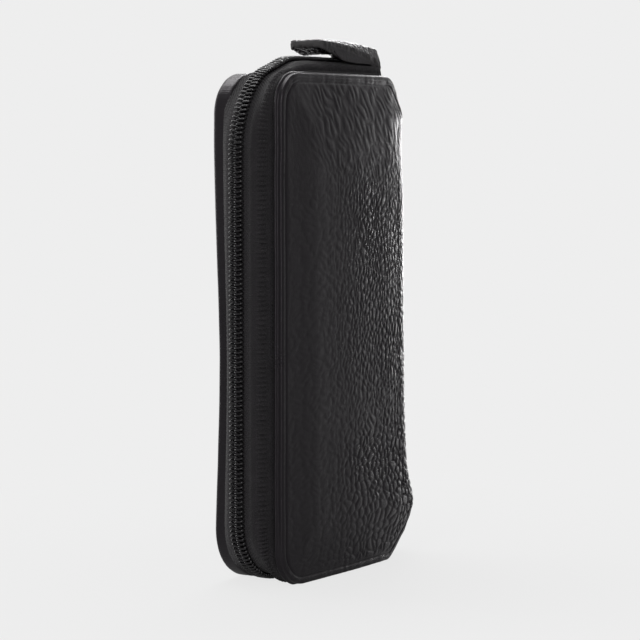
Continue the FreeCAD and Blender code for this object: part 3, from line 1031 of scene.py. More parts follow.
@dataclass(frozen=True)
class HardFinish:
    """Nylon, lacquer or plated metal with smudges and a fine surface ripple."""

    name: str
    colour: Colour
    rubbed: Colour
    roughness: float
    rubbed_roughness: float
    spots: float
    ripple: float
    ripple_depth: float
    metallic: float = 0.0
    specular: float = 0.5
    bump_share: float = 0.5

    def material(self, effects: Effects) -> Material:
        """Makes the material.

        Args:
            effects: The shared effects.

        Returns:
            The material.
        """
        material, board, shader = new_material(self.name)
        place = solid_place(board)
        mask = effects.marks.place(board, {"Place": place, "Spots": self.spots}).outputs["Mask"]
        colour = board.tint(mask, self.colour, self.rubbed)
        roughness = board.between(mask, self.roughness, self.rubbed_roughness)
        board.wire(shader, {"Base Color": colour, "Roughness": roughness})
        board.wire(shader, {"Specular IOR Level": self.specular, "Metallic": self.metallic})
        height = board.noise(place, self.ripple, FINE_DETAIL)
        bump(board, shader, height, self.ripple_depth, self.bump_share)
        return material


@dataclass(frozen=True)
class Finishes:
    """All materials of the case."""

    leather: Material
    tab: Material
    pocket: Material
    lining: Material
    tape: Material
    tape_end: Material
    thread: Material
    coil: Material
    lacquer: Material
    nickel: Material
    spring: Material
    board: Material

    @classmethod
    def make(cls) -> "Finishes":
        """Makes every material of the case.

        Returns:
            The materials.
        """
        effects = Effects(make_pores(), make_weave(), make_marks())
        plans: dict[str, LeatherFinish | ClothFinish | HardFinish] = {
            "leather": LeatherFinish(
                name="pebbled_leather", furrow_roughness=0.46, top_roughness=0.3,
                pores=2600.0, pore_depth=0.03,
            ),
            "tab": LeatherFinish(
                name="tab_leather", furrow_roughness=0.45, top_roughness=0.26,
                pores=2200.0, pore_depth=0.05, raw=(0.055, 0.054, 0.053),
            ),
            "pocket": LeatherFinish(
                name="pocket_leather", furrow_roughness=0.55, top_roughness=0.42,
                pores=2800.0, pore_depth=0.03, specular=0.4, has_pebbles=False,
            ),
            "lining": ClothFinish(
                name="lining_cloth", dark=(0.011, 0.011, 0.012), light=(0.03, 0.03, 0.032),
                roughness=0.75, specular=0.25, threads=3200.0, thread_depth=0.05, sheen=0.15,
            ),
            "tape": ClothFinish(
                name="woven_tape", dark=TAPE_BLACK, light=(0.029, 0.0245, 0.0292),
                roughness=0.55, specular=0.5, threads=2400.0, thread_depth=0.2,
            ),
            "tape_end": ClothFinish(
                name="folded_tape", dark=TAPE_BLACK, light=(0.022, 0.0215, 0.022),
                roughness=0.72, specular=0.3, threads=2400.0, thread_depth=0.07, on_cut=False,
            ),
            "thread": ClothFinish(
                name="sewing_thread", dark=(0.01, 0.01, 0.011), light=(0.03, 0.03, 0.031),
                roughness=0.6, specular=0.35, threads=5200.0, thread_depth=0.04, on_cut=False,
            ),
            "coil": HardFinish(
                name="nylon_coil", colour=(0.011, 0.0098, 0.0112), rubbed=(0.015, 0.0135, 0.0152),
                roughness=0.16, rubbed_roughness=0.24, spots=300.0, ripple=4000.0, ripple_depth=0.01,
                specular=0.7,
            ),
            "lacquer": HardFinish(
                name="black_lacquer", colour=BLACK, rubbed=(0.03, 0.029, 0.028),
                roughness=0.3, rubbed_roughness=0.42, spots=350.0, ripple=2500.0, ripple_depth=0.01,
            ),
            "nickel": HardFinish(
                name="nickel_plate", colour=(0.72, 0.70, 0.66), rubbed=(0.62, 0.60, 0.56),
                roughness=0.16, rubbed_roughness=0.3, spots=250.0, ripple=1800.0, ripple_depth=0.006,
                metallic=1.0,
            ),
            "spring": HardFinish(
                name="spring_strip", colour=(0.60, 0.59, 0.57), rubbed=(0.5, 0.49, 0.47),
                roughness=0.25, rubbed_roughness=0.4, spots=300.0, ripple=2600.0, ripple_depth=0.008,
                metallic=1.0,
            ),
            "board": HardFinish(
                name="stiff_board", colour=(0.30, 0.25, 0.19), rubbed=(0.24, 0.2, 0.15),
                roughness=0.9, rubbed_roughness=0.95, spots=500.0, ripple=1500.0, ripple_depth=0.05,
                specular=0.2,
            ),
        }
        return cls(**{name: plan.material(effects) for name, plan in plans.items()})


# Sub-assemblies


@dataclass(frozen=True)
class SheetPlan:
    """Columns of a sheet that runs from the zip side over a fold line to the middle of the spine."""

    x: Array
    y: Array
    normal_x: Array
    normal_y: Array
    along: Array


@dataclass(frozen=True)
class CoverLeather:
    """The leather of one cover and its half of the spine: padded face, crease and rolled edge."""

    sizes: CaseSizes
    side: Side
    step: float = 0.33
    fine_step: float = 0.2
    fine_border: float = 5.0
    crease_at: float = 1.7
    crease_at_top: float = 2.15
    crease_depth: float = 0.26
    crease_wide: float = 0.24
    top_band: float = 15.0
    back_edge_extra: float = 2.0
    front_edge_shares: tuple[tuple[float, float], ...] = (
        (0.30, 0.99), (0.56, 0.95), (0.76, 0.87), (0.87, 0.76), (0.90, 0.62), (0.87, 0.46),
        (0.83, 0.28), (0.80, 0.10), (0.79, -0.06), (0.86, -0.16), (1.0, -0.25), (1.12, -0.36),
        (1.17, -0.50), (1.12, -0.64), (1.0, -0.76), (0.84, -0.85), (0.62, -0.92), (0.0, -1.0),
    )
    back_edge_shares: tuple[tuple[float, float], ...] = (
        (0.46, 0.99), (0.76, 0.95), (0.92, 0.86), (0.99, 0.70), (1.0, 0.45), (1.0, 0.15), (0.99, -0.10),
        (0.99, -0.35), (1.0, -0.60), (0.98, -0.80), (0.90, -0.93), (0.70, -0.99), (0.0, -1.0),
    )
    swell: float = 0.12
    swell_run: float = 0.8
    corner_swell: float = 0.22
    corner_swell_run: float = 1.5
    corner_from: float = 38.0
    corner_full: float = 47.0
    crown: float = 0.75
    crown_run: float = 13.0
    sag: float = 1.8
    sag_from: float = 24.0
    sag_end: float = 62.0
    tick: float = 0.07
    tick_pitch: float = 1.1
    tick_tall_share: float = 6.0
    grain_depth: float = 0.32
    grain_from: float = 1.9
    grain_full: float = 3.4
    smooth_lit_share: float = 0.75
    flange: float = 3.0
    back_hem: float = 0.6
    bend_reach: float = 2.4
    arc_steps: int = 400
    fill: float = 0.85

    @property
    def roll(self) -> float:
        """Half the thickness of the rolled edge."""
        extra = self.back_edge_extra if self.side is Side.BACK else 0.0
        return (self.thickness + extra) / 2

    @property
    def thickness(self) -> float:
        """Thickness of the padded leather away from its edge."""
        return self.sizes.face - self.sizes.turned

    def plan(self) -> SheetPlan:
        """Lays out the columns of the leather.

        Returns:
            The columns, from the zip side to the middle of the spine.
        """
        size = self.sizes
        corner = max(size.corners(self.side))
        inner_corner = corner - self.roll
        corner_count = math.ceil(inner_corner * math.pi / 2 / self.step)
        angles = np.linspace(0.0, math.pi / 2, corner_count + 1)[:-1]
        corner_x = size.left + corner - inner_corner * np.cos(angles)
        flat_count = math.ceil((size.fold - size.left - corner) / self.step)
        flat_x = np.linspace(size.left + corner, size.fold, flat_count + 1)
        level_x = np.concatenate([corner_x, flat_x])
        bulge = size.spine - size.fold
        fine = np.linspace(0.0, math.pi / 2, self.arc_steps)
        hops = np.hypot(np.diff(bulge * np.sin(fine)), np.diff(size.face * np.cos(fine)))
        arc = np.concatenate([[0.0], np.cumsum(hops)])
        turn_count = math.ceil(arc[-1] / self.step)
        turn_along = np.linspace(0.0, arc[-1], turn_count + 1)[1:]
        turns = np.interp(turn_along, arc, fine)
        slope = unit(np.stack([np.sin(turns) / bulge, np.cos(turns) / size.face], axis=1))
        flat = np.zeros(len(level_x))
        return SheetPlan(
            x=np.concatenate([level_x, size.fold + bulge * np.sin(turns)]),
            y=np.concatenate([flat + size.face, size.face * np.cos(turns)]),
            normal_x=np.concatenate([flat, slope[:, 0]]),
            normal_y=np.concatenate([flat + 1.0, slope[:, 1]]),
            along=np.concatenate([level_x - size.left, size.fold - size.left + turn_along]),
        )

    def limits(self, along: Array, inset: float) -> tuple[Array, Array]:
        """Lowest and highest place of each column.

        Args:
            along: Distance of the columns from the zip-side edge.
            inset: How far inside the outline.

        Returns:
            The two heights.
        """
        size = self.sizes
        top = size.top_drop(along)
        bottom = size.bottom_rise(along)
        high = size.height - top - inset * np.hypot(1.0, np.gradient(top, along))
        low = bottom + inset * np.hypot(1.0, np.gradient(bottom, along))
        top_corner, bottom_corner = size.corners(self.side)
        return low + corner_fall(along, inset, bottom_corner), high - corner_fall(along, inset, top_corner)

    def levels(self, along: Array, inset: float, shares: Array) -> Array:
        """Heights at shares of the columns between the lower outline and the upper one."""
        low, high = self.limits(along, inset)
        return low[:, None] + (high - low)[:, None] * shares[None, :]

    def rows(self) -> Array:
        """Spaces the points of a column.

        Returns:
            Shares of a column's height, closer together near its ends.
        """
        height = self.sizes.height - self.roll * 2
        fine_count = math.ceil(self.fine_border / self.fine_step)
        border = np.arange(fine_count) * self.fine_step
        middle_count = math.ceil((height - self.fine_border * 2) / self.step)
        middle = np.linspace(self.fine_border, height - self.fine_border, middle_count + 1)
        return np.concatenate([border, middle, height - border[::-1]]) / height

    def inset_of(self, along: Array, level: Array) -> Array:
        """Distance of places from the outline.

        Args:
            along: Distances from the zip-side edge.
            level: Heights.

        Returns:
            The distances.
        """
        size = self.sizes
        steep_top = np.hypot(1.0, np.gradient(size.top_drop(along[:, 0]), along[:, 0]))[:, None]
        steep_low = np.hypot(1.0, np.gradient(size.bottom_rise(along[:, 0]), along[:, 0]))[:, None]
        from_top = (size.height - size.top_drop(along) - level) / steep_top
        from_low = (level - size.bottom_rise(along)) / steep_low
        inset = np.minimum(np.minimum(from_top, from_low), along)
        top_corner, bottom_corner = size.corners(self.side)
        past_top = level - (size.height - top_corner)
        past_bottom = bottom_corner - level
        for corner, past in ((top_corner, past_top), (bottom_corner, past_bottom)):
            across = corner - along
            inset = np.where((across > 0) & (past > 0), corner - np.hypot(across, past), inset)
        return inset

    def sag_at(self, along: Array) -> Array:
        """How far the cover turns in towards the spine.

        Args:
            along: Distances from the zip-side edge.

        Returns:
            The depths below the flat cover.
        """
        fold_at = self.sizes.fold - self.sizes.left
        turn_in = np.clip((along - self.sag_from) / (fold_at - self.sag_from), 0.0, 1.0)
        return self.sag * turn_in**2 * (1.0 - ease(fold_at, self.sag_end, along))

    def relief(self, inset: Array, along: Array, level: Array) -> Array:
        """Height of the roll, the crease and the padded face above the flat cover.

        Args:
            inset: Distances from the outline.
            along: Distances from the zip-side edge.
            level: Heights above the ground.

        Returns:
            The heights.
        """
        near_top = ease(self.sizes.height - self.top_band, self.sizes.height, level)
        crease = self.crease_at + (self.crease_at_top - self.crease_at) * near_top
        past = np.maximum(inset - crease, 0.0)
        groove = bell(inset, crease, self.crease_wide, self.crease_depth)
        padding = self.swell * (1.0 - np.exp(-past / self.swell_run))
        cut_corner = self.corner_swell * ease(self.corner_from, self.corner_full, along)
        padding = padding + cut_corner * (1.0 - np.exp(-past / self.corner_swell_run))
        tall = self.tick_pitch * self.tick_tall_share
        pinch = drift(along / self.tick_pitch, level / tall, Seed.TICK)
        ticks = self.tick * pinch * (1.0 - ease(self.crease_at, self.grain_full, inset))
        crown = self.crown * ease(0.0, self.crown_run, past)
        return padding + crown - groove + ticks - self.sag_at(along)

    def build(self, pebbles: Pebbles) -> Piece:
        """Builds the leather.

        Args:
            pebbles: Its grain.

        Returns:
            The piece.
        """
        plan = self.plan()
        level = self.levels(plan.along, self.roll, self.rows())
        along = np.broadcast_to(plan.along[:, None], level.shape)
        whole = plan.along[-1]
        round_along = along if self.side is Side.FRONT else whole * 2 - along
        grain = pebbles.height(round_along, level, along)
        inset = self.inset_of(along, level)
        shown = ease(self.grain_from, self.grain_full, inset)
        height = self.relief(inset, along, level) + self.grain_depth * grain * shown
        sign = self.side.value
        normals = column_points(plan.normal_x, plan.normal_y * sign, np.zeros(level.shape))
        face = column_points(plan.x, plan.y * sign, level) + normals * height[..., None]
        if self.side is Side.FRONT:
            points, faces = closed_sheet(face, normals, self.roll, self.flange, self.front_edge_shares)
        else:
            points, faces = closed_sheet(
                face, normals, self.roll, self.back_hem, self.back_edge_shares, self.thickness
            )
        points[:, 2] = np.maximum(points[:, 2], 0.0)
        piece = add_piece(f"{self.side.word}_cover_leather", (self.sizes.settle(points), faces))
        piece.data.set_sharp_from_angle(angle=SHARP_TURN)
        cut = np.stack([points[:, 0] * sign, points[:, 2]], axis=1)
        cut[: level.size] = np.stack([round_along.ravel(), level.ravel()], axis=1)
        lay_cut_map(piece, cut)
        # Places off the grain, such as the rolled edge, take the lighter top tone as painted light; grained
        # places get painted shade in their furrows.
        pebble_lift_and_shade = np.full(len(points), self.smooth_lit_share)
        grain_share = grain + pebbles.middle_share
        pebble_lift_and_shade[: level.size] = (grain_share * shown + self.smooth_lit_share * (1.0 - shown)).ravel()
        keep_values(piece, PEBBLE, pebble_lift_and_shade)
        return piece

    def mount(self, piece: Piece, finishes: Finishes) -> None:
        """Dresses the leather and bakes its transform into its points.

        Args:
            piece: The leather.
            finishes: The case's materials.
        """
        word = self.side.word
        dress(piece, finishes.leather, Slot.LEATHER, f"{word}_leather", f"{word}_padding", "spine_leather")
        self.bend(piece)

    def bend(self, piece: Piece) -> None:
        """Bakes a sheet's transform into its points.

        Args:
            piece: The sheet.
        """
        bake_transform(piece)


@dataclass(frozen=True)
class CoverBoard:
    """The stiff board inside one cover, which follows the leather's turn towards the spine."""

    leather: CoverLeather
    inset: float = 2.2
    fold_gap: float = 2.6
    step: float = 1.2
    edge_steps: int = 3

    def build(self) -> Piece:
        """Builds the board.

        Returns:
            The piece.
        """
        size = self.leather.sizes
        word, sign = self.leather.side.word, self.leather.side.value
        low_place, high_place = node_box(f"{word}_board")
        thickness = high_place[1] - low_place[1]
        outer = max(abs(low_place[1]), abs(high_place[1]))
        end = size.fold - self.fold_gap - size.left
        along = np.linspace(self.inset, end, math.ceil((end - self.inset) / self.step))
        rows = np.linspace(0.0, 1.0, math.ceil(size.height / self.step))
        level = self.leather.levels(along, self.inset, rows)
        normals = np.broadcast_to(np.array([0.0, sign, 0.0]), (*level.shape, 3))
        places = column_points(size.left + along, (outer - self.leather.sag_at(along)) * sign, level)
        points, faces = closed_sheet(places, normals, thickness / 2, thickness, round_edge(self.edge_steps))
        return add_piece(f"{word}_stiff_board", (size.settle(points), faces))

    def mount(self, piece: Piece, finishes: Finishes) -> None:
        """Dresses the board and sets it in its cover."""
        word = self.leather.side.word
        mount(piece, f"{word}_cover", finishes.board, Slot.BOARD, f"{word}_board")


@dataclass(frozen=True)
class CoverLining:
    """The woven lining of one cover and its half of the spine, with the line of its seam."""

    leather: CoverLeather
    thickness: float = 0.5
    inset: float = 2.6
    step: float = 0.9
    step_back: float = 2.2
    spine_layers: float = 1.9
    spine_turn: float = 0.4
    pucker: float = 0.09
    pucker_pitch: float = 3.0
    pucker_inset: float = 4.2
    pucker_wide: float = 1.6
    flange: float = 0.6
    corner_columns: int = 12
    spine_columns: int = 16
    edge_steps: int = 4
    seam_inset: float = 4.2
    seam_end: float = 6.0
    seam_steps: int = 8

    def build(self) -> Piece:
        """Builds the lining.

        Returns:
            The piece.
        """
        size = self.leather.sizes
        sign = self.leather.side.value
        corner = max(size.corners(self.leather.side))
        angles = np.linspace(0.0, math.pi / 2, self.corner_columns)[:-1]
        corner_x = size.left + corner - (corner - self.inset) * np.cos(angles)
        flat_end = size.fold - self.step_back
        flat_count = math.ceil((flat_end - size.left - corner) / self.step)
        flat_x = np.concatenate([corner_x, np.linspace(size.left + corner, flat_end, flat_count)])
        bulge = size.spine - size.fold - self.spine_layers
        depth = size.face - self.spine_layers
        turns = np.linspace(self.spine_turn, math.pi / 2, self.spine_columns)
        x = np.concatenate([flat_x, size.fold + bulge * np.sin(turns)])
        y = np.concatenate([np.full(len(flat_x), size.lining), depth * np.cos(turns)])
        plan = self.leather.plan()
        spine_along = np.interp(turns, [0.0, math.pi / 2], [size.fold - size.left, plan.along[-1]])
        along = np.concatenate([flat_x - size.left, spine_along])
        rows = np.linspace(0.0, 1.0, math.ceil(size.height / self.step))
        level = self.leather.levels(along, self.inset, rows)
        wide = np.broadcast_to(along[:, None], level.shape)
        inset = self.leather.inset_of(wide, level)
        wave = np.sin((wide + level) * math.tau / self.pucker_pitch)
        rise = wave * bell(inset, self.pucker_inset, self.pucker_wide, self.pucker)
        slope = unit(np.stack([np.gradient(y), -np.gradient(x)], axis=1))
        slope *= np.where(slope[:, 1:] > 0, -1.0, 1.0)
        slope[-1] = (-1.0, 0.0)
        normals = column_points(slope[:, 0], slope[:, 1] * sign, np.zeros(level.shape))
        places = column_points(x, y * sign, level) + normals * rise[..., None]
        points, faces = closed_sheet(
            places, normals, self.thickness / 2, self.flange, round_edge(self.edge_steps)
        )
        piece = add_piece(f"{self.leather.side.word}_lining_cloth", (size.settle(points), faces))
        cut = np.stack([points[:, 0], points[:, 2]], axis=1)
        cut[: level.size] = np.stack([wide.ravel(), level.ravel()], axis=1)
        lay_cut_map(piece, cut)
        return piece

    def mount(self, piece: Piece, finishes: Finishes) -> None:
        """Dresses the lining and bakes its transform into its points.

        Args:
            piece: The lining.
            finishes: The case's materials.
        """
        word = self.leather.side.word
        nodes = (f"{word}_lining", f"{word}_filler", "spine_lining", "spine_filler")
        dress(piece, finishes.lining, Slot.LINING, *nodes)
        self.leather.bend(piece)
        wide = (self.leather.plan().along[-1] - self.inset) * MM

    def seam_line(self) -> Array:
        """Follows the sewing line.

        Returns:
            X and Z places, from the top by the fold to the bottom.
        """
        size = self.leather.sizes
        end_x = size.fold - self.seam_end
        top_corner, bottom_corner = size.corners(self.leather.side)
        quarter = np.linspace(math.pi / 2, math.pi, self.seam_steps)
        line = [[[end_x, size.height - self.seam_inset]]]
        arcs = (
            (top_corner, size.height - top_corner, quarter),
            (bottom_corner, bottom_corner, quarter + math.pi / 2),
        )
        for corner, centre_z, angles in arcs:
            radius = corner - self.seam_inset
            x = size.left + corner + radius * np.cos(angles)
            z = centre_z + radius * np.sin(angles)
            line.append(np.stack([x, z], axis=1))
        line.append([[end_x, self.seam_inset]])
        return np.concatenate(line)


@dataclass(frozen=True)
class Stitches:
    """A row of sewn stitches along a line on a flat face."""

    length: float = 2.3
    pitch: float = 3.0
    radius: float = 0.24
    sink: float = 0.1
    sides: int = 6
    stations: int = 7
    arch_power: int = 4

    def build(self, name: str, line: Array, y: float, side: Side) -> Piece:
        """Builds the row.

        Args:
            name: The piece's name.
            line: X and Z places along the sewing line.
            y: Distance of the sewn face from the case's middle plane.
            side: The cover that it is sewn on.

        Returns:
            The piece.
        """
        runs = np.concatenate([[0.0], np.cumsum(np.linalg.norm(np.diff(line, axis=0), axis=1))])
        count = int(runs[-1] / self.pitch)
        meshes = []
        shares = np.linspace(-0.5, 0.5, self.stations)
        for number in range(count):
            middle = (number + 0.5) * runs[-1] / count
            places = middle + shares * self.length
            x = np.interp(places, runs, line[:, 0])
            z = np.interp(places, runs, line[:, 1])
            arch = self.radius * (1.0 - (shares * 2) ** self.arch_power) - self.radius + self.sink
            wire = np.stack([x, side.value * (y - arch), z], axis=1)
            meshes.append(tube(wire, self.radius, self.sides))
        return add_piece(name, joined(meshes))

    def mount(self, piece: Piece, side: Side, finishes: Finishes, *nodes: str) -> None:
        """Dresses the row, lets it stand for CAD nodes and sets it on its cover."""
        mount(piece, f"{side.word}_cover", finishes.thread, Slot.THREAD, *nodes)


@dataclass(frozen=True)
class SlipPocket:
    """The slip pocket on the front lining: a leather sheet sewn on three sides, slack at its mouth."""

    step: float = 1.0
    slack: float = 0.6
    mouth_dip: float = 0.8
    seam_border: float = 3.5
    roll: float = 0.38
    flange: float = 1.0
    edge_steps: int = 5
    seam_inset: float = 1.6

    def build(self) -> Piece:
        """Builds the pocket's sheet.

        Returns:
            The piece.
        """
        low, high = node_box("front_pocket")
        wide = np.linspace(low[0], high[0], math.ceil((high[0] - low[0]) / self.step))
        down = np.linspace(high[2], low[2], math.ceil((high[2] - low[2]) / self.step))
        x, z = np.meshgrid(wide, down)
        across = (x - low[0]) / (high[0] - low[0])
        from_sides = np.minimum(x - low[0], high[0] - x)
        free = ease(0.0, self.seam_border * 2, from_sides) * ease(low[2], low[2] + self.seam_border * 2, z)
        z = z - self.mouth_dip * np.sin(across * math.pi) * ease(low[2], high[2], z)
        y = low[1] + self.roll * 2 + (self.slack - self.roll) * free
        normals = np.broadcast_to(np.array([0.0, 1.0, 0.0]), (*x.shape, 3))
        places = np.stack([x, y, z], axis=-1)
        points, faces = closed_sheet(places, normals, self.roll, self.flange, round_edge(self.edge_steps))
        piece = add_piece("front_pocket_leather", (points, faces))
        lay_cut_map(piece, points[:, [0, 2]])
        return piece

    def mount(self, piece: Piece, finishes: Finishes) -> None:
        """Dresses the pocket and sets it on the front lining.

        Args:
            piece: The pocket's sheet.
            finishes: The case's materials.
        """
        mount(piece, "front_cover", finishes.pocket, Slot.POCKET, "front_pocket")

    def seam_line(self) -> Array:
        """Follows the pocket's sewing line.

        Returns:
            X and Z places.
        """
        low, high = node_box("front_pocket")
        inset = self.seam_inset
        corners = [(low[0] + inset, high[2] - inset), (low[0] + inset, low[2] + inset)]
        corners += [(high[0] - inset, low[2] + inset), (high[0] - inset, high[2] - inset)]
        return np.array(corners)

    def seam_y(self) -> float:
        """Distance of the pocket's sewn border from the case's middle plane."""
        return -(node_box("front_pocket")[0][1] + self.roll * 2)


@dataclass(frozen=True)
class ZipRun:
    """The way of the zip round the three open sides, as stations that the chain and the covers share."""

    sizes: CaseSizes
    left: float
    top: float
    bottom: float
    end: float
    top_corner: float = 22.0
    bottom_corner: float = 14.5
    middle: float = 0.25
    bulge: float = 0.3
    shoulder: float = 0.85
    shoulder_at: float = 15.0
    shoulder_spread: float = 4.5
    outline_steps: int = 240

    @classmethod
    def from_frame(cls, sizes: CaseSizes) -> "ZipRun":
        """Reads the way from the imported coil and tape.

        Args:
            sizes: The case's sizes.

        Returns:
            The way.
        """
        low, high = node_box("back_zip_coil")
        tape_end = node_box("back_zip_tape")[1][0]
        return cls(sizes, left=low[0] - cls.bulge, top=high[2], bottom=low[2], end=tape_end)

    def lengths(self) -> Array:
        """Measures the chain's stretches.

        Returns:
            Their lengths, from the top end to the bottom end.
        """
        return np.array(
            [
                self.end - self.left - self.top_corner,
                self.top_corner * math.pi / 2,
                self.top - self.top_corner - self.bottom - self.bottom_corner,
                self.bottom_corner * math.pi / 2,
                self.end - self.left - self.bottom_corner,
            ]
        )

    def stations(self, way: Array) -> tuple[Array, Array]:
        """Where distances along the chain lie.

        Args:
            way: Distances along the chain.

        Returns:
            The number of the stretch and the share of it that is passed.
        """
        stops = np.concatenate([[0.0], np.cumsum(self.lengths())])
        stretch = np.clip(np.searchsorted(stops, way, side="right") - 1, 0, len(stops) - 2)
        return stretch, (way - stops[stretch]) / self.lengths()[stretch]

    def centres(self) -> dict[Stretch, tuple[float, float]]:
        """Finds the middle points of the chain's two corners.

        Returns:
            X and Z of each, by its stretch.
        """
        top = (self.left + self.top_corner, self.top - self.top_corner)
        bottom = (self.left + self.bottom_corner, self.bottom + self.bottom_corner)
        return {Stretch.TOP_CORNER: top, Stretch.BOTTOM_CORNER: bottom}

    def chain(self, way: Array, inset: Array, end: float) -> Array:
        """Places along the chain.

        Args:
            way: Distances along the chain.
            inset: How far inside the chain's outside.
            end: X of the two ends.

        Returns:
            X and Z places.
        """
        stretch, share = self.stations(way)
        top, bottom = self.centres().values()
        x = np.empty(way.shape)
        z = np.empty(way.shape)
        straight = {
            Stretch.TOP: ((end, self.top), (top[0], self.top), (0.0, -1.0)),
            Stretch.SIDE: ((self.left, top[1]), (self.left, bottom[1]), (1.0, 0.0)),
            Stretch.BOTTOM: ((bottom[0], self.bottom), (end, self.bottom), (0.0, 1.0)),
        }
        for number, (start, stop, inward) in straight.items():
            on = stretch == number
            x[on] = start[0] + (stop[0] - start[0]) * share[on] + inward[0] * inset[on]
            z[on] = start[1] + (stop[1] - start[1]) * share[on] + inward[1] * inset[on]
        corners = {
            Stretch.TOP_CORNER: (top, self.top_corner, math.pi / 2),
            Stretch.BOTTOM_CORNER: (bottom, self.bottom_corner, math.pi),
        }
        for number, (centre, radius, start) in corners.items():
            on = stretch == number
            angle = start + share[on] * math.pi / 2
            x[on] = centre[0] + (radius - inset[on]) * np.cos(angle)
            z[on] = centre[1] + (radius - inset[on]) * np.sin(angle)
        z -= bell(x, self.left + self.shoulder_at, self.shoulder_spread, self.shoulder) * (z > top[1])
        return np.stack([x, z], axis=1)

    def cover(self, way: Array, inset: float, end: float, side: Side) -> Array:
        """Places on a cover's outline, square to the chain's stations.

        Args:
            way: Distances along the chain.
            inset: How far inside the outline.
            end: X of the two ends.
            side: The cover.

        Returns:
            X and Z places.
        """
        size = self.sizes
        stretch = self.stations(way)[0]
        places = self.chain(way, np.zeros(way.shape), end)
        places[stretch == Stretch.TOP, 1] = size.height - inset
        places[stretch == Stretch.SIDE, 0] = size.left + inset
        places[stretch == Stretch.BOTTOM, 1] = inset
        quarter = np.linspace(0.0, math.pi / 2, self.outline_steps)
        for (number, centre), corner, edge in zip(
            self.centres().items(), size.corners(side), (size.height - inset, inset)
        ):
            up = 1.0 if number is Stretch.TOP_CORNER else -1.0
            radius = corner - inset
            arc_x = size.left + corner - radius * np.cos(quarter)
            arc_z = edge - up * (radius - radius * np.sin(quarter))
            x = np.concatenate([[size.left + inset], arc_x, [centre[0]]])
            z = np.concatenate([[centre[1]], arc_z, [edge]])
            turn = np.arctan2(np.abs(z - centre[1]), centre[0] - x)
            on = stretch == number
            at = np.arctan2(np.abs(places[on, 1] - centre[1]), centre[0] - places[on, 0])
            places[on] = np.stack([np.interp(at, turn, x), np.interp(at, turn, z)], axis=1)
        return places


@dataclass(frozen=True)
class ZipTape:
    """One woven tape: flat by the coil, then sloping to the seam inside the cover, with rib stitches."""

    run: ZipRun
    side: Side
    step: float = 0.2
    profile: int = 22
    thickness: float = 0.45
    slant_share: float = 0.78
    coil_inset: float = 1.2
    gap: float = 0.95
    flat: float = 2.9
    ridge: float = 3.7
    seam: float = 6.9
    rib_pitch: float = 1.07
    rib_depth: float = 0.65
    back_rib_share: float = 0.1
    rib_from_share: float = 0.55
    rib_to_share: float = 0.7
    rib_end_share: float = 0.04
    rib_rise_shares: tuple[float, float] = (-0.3, 0.7)
    sag: float = 0.15
    back_drop: float = 0.5
    edge_inset: float = 0.3
    hidden_inset: float = 2.4
    drape_share: float = 1.6

    def end(self, y: float) -> float:
        """X of the slanted ends at a distance from the chain."""
        return self.run.end - (y - self.gap) * self.slant_share

    def build(self) -> Piece:
        """Builds the tape.

        Returns:
            The piece.
        """
        total = self.run.lengths().sum()
        way = np.linspace(0.0, total, math.ceil(total / self.step))
        drop = self.back_drop if self.side is Side.BACK else 0.0
        ridge_inset = np.full(way.shape, self.coil_inset - self.sag + drop)
        level = np.full(way.shape, self.coil_inset)
        rows = [
            (self.run.chain(way, level, self.end(self.gap)), self.gap),
            (self.run.chain(way, level + self.sag, self.end(self.flat)), self.flat),
            (self.run.chain(way, ridge_inset, self.end(self.ridge)), self.ridge),
        ]
        middle = (self.ridge + self.seam) / 2
        half_way = self.run.chain(way, ridge_inset, self.end(middle))
        rows.append(((half_way + self.run.cover(way, 0.0, self.end(middle), self.side)) / 2, middle))
        for inset in (self.edge_inset, self.hidden_inset):
            rows.append((self.run.cover(way, inset, self.end(self.seam), self.side), self.seam))
        control = np.stack(
            [np.stack([place[:, 0], np.full(way.shape, y), place[:, 1]], axis=1) for place, y in rows]
        )
        share = np.linspace(0.0, 1.0, self.profile)
        surface = np.einsum("qk,kwc->wqc", spline_weights(share, len(rows)), control)
        lengthwise = np.gradient(surface, axis=0)
        crosswise = np.gradient(surface, axis=1)
        normal = unit(np.cross(lengthwise, crosswise))
        middle_out = normal[len(way) // 2, 0, 0]
        normal = normal if middle_out < 0 else -normal
        rib = ease(*self.rib_rise_shares, np.cos(way * math.tau / self.rib_pitch))
        band = ease(self.rib_from_share - self.rib_end_share, self.rib_from_share, share)
        band = band * (1.0 - ease(self.rib_to_share, self.rib_to_share + self.rib_end_share, share))
        depth = self.rib_depth * (self.back_rib_share if self.side is Side.BACK else 1.0)
        lift = depth * rib[:, None] * band[None, :]
        outer = surface + normal * lift[..., None]
        inner = surface - normal * self.thickness
        for skin in (outer, inner):
            skin[..., 1] = skin[..., 1] * self.side.value + self.run.middle * (1.0 - share)
        points = np.concatenate([outer.reshape(-1, 3), inner.reshape(-1, 3)])
        count = outer.shape[0] * outer.shape[1]
        faces = grid_faces(len(way), self.profile) + grid_faces(len(way), self.profile, count)
        index = np.arange(count).reshape(len(way), self.profile)
        rim = np.concatenate([index[0], index[1:, -1], index[-1, -2::-1], index[-2:0:-1, 0]])
        follow = np.roll(rim, -1)
        faces += np.stack([rim, follow, follow + count, rim + count], axis=1).tolist()
        piece = add_piece(f"{self.side.word}_woven_tape", (self.run.sizes.settle(points), faces))
        across = np.broadcast_to(share[None, :] * (self.seam - self.gap) * self.drape_share, index.shape)
        cut = np.stack([np.broadcast_to(way[:, None], index.shape).ravel(), across.ravel()], axis=1)
        lay_cut_map(piece, np.concatenate([cut, cut]))
        return piece

    def mount(self, piece: Piece, finishes: Finishes) -> None:
        """Dresses the tape and sets it on its cover."""
        word = self.side.word
        mount(piece, f"{word}_cover", finishes.tape, Slot.TAPE, f"{word}_zip_tape")


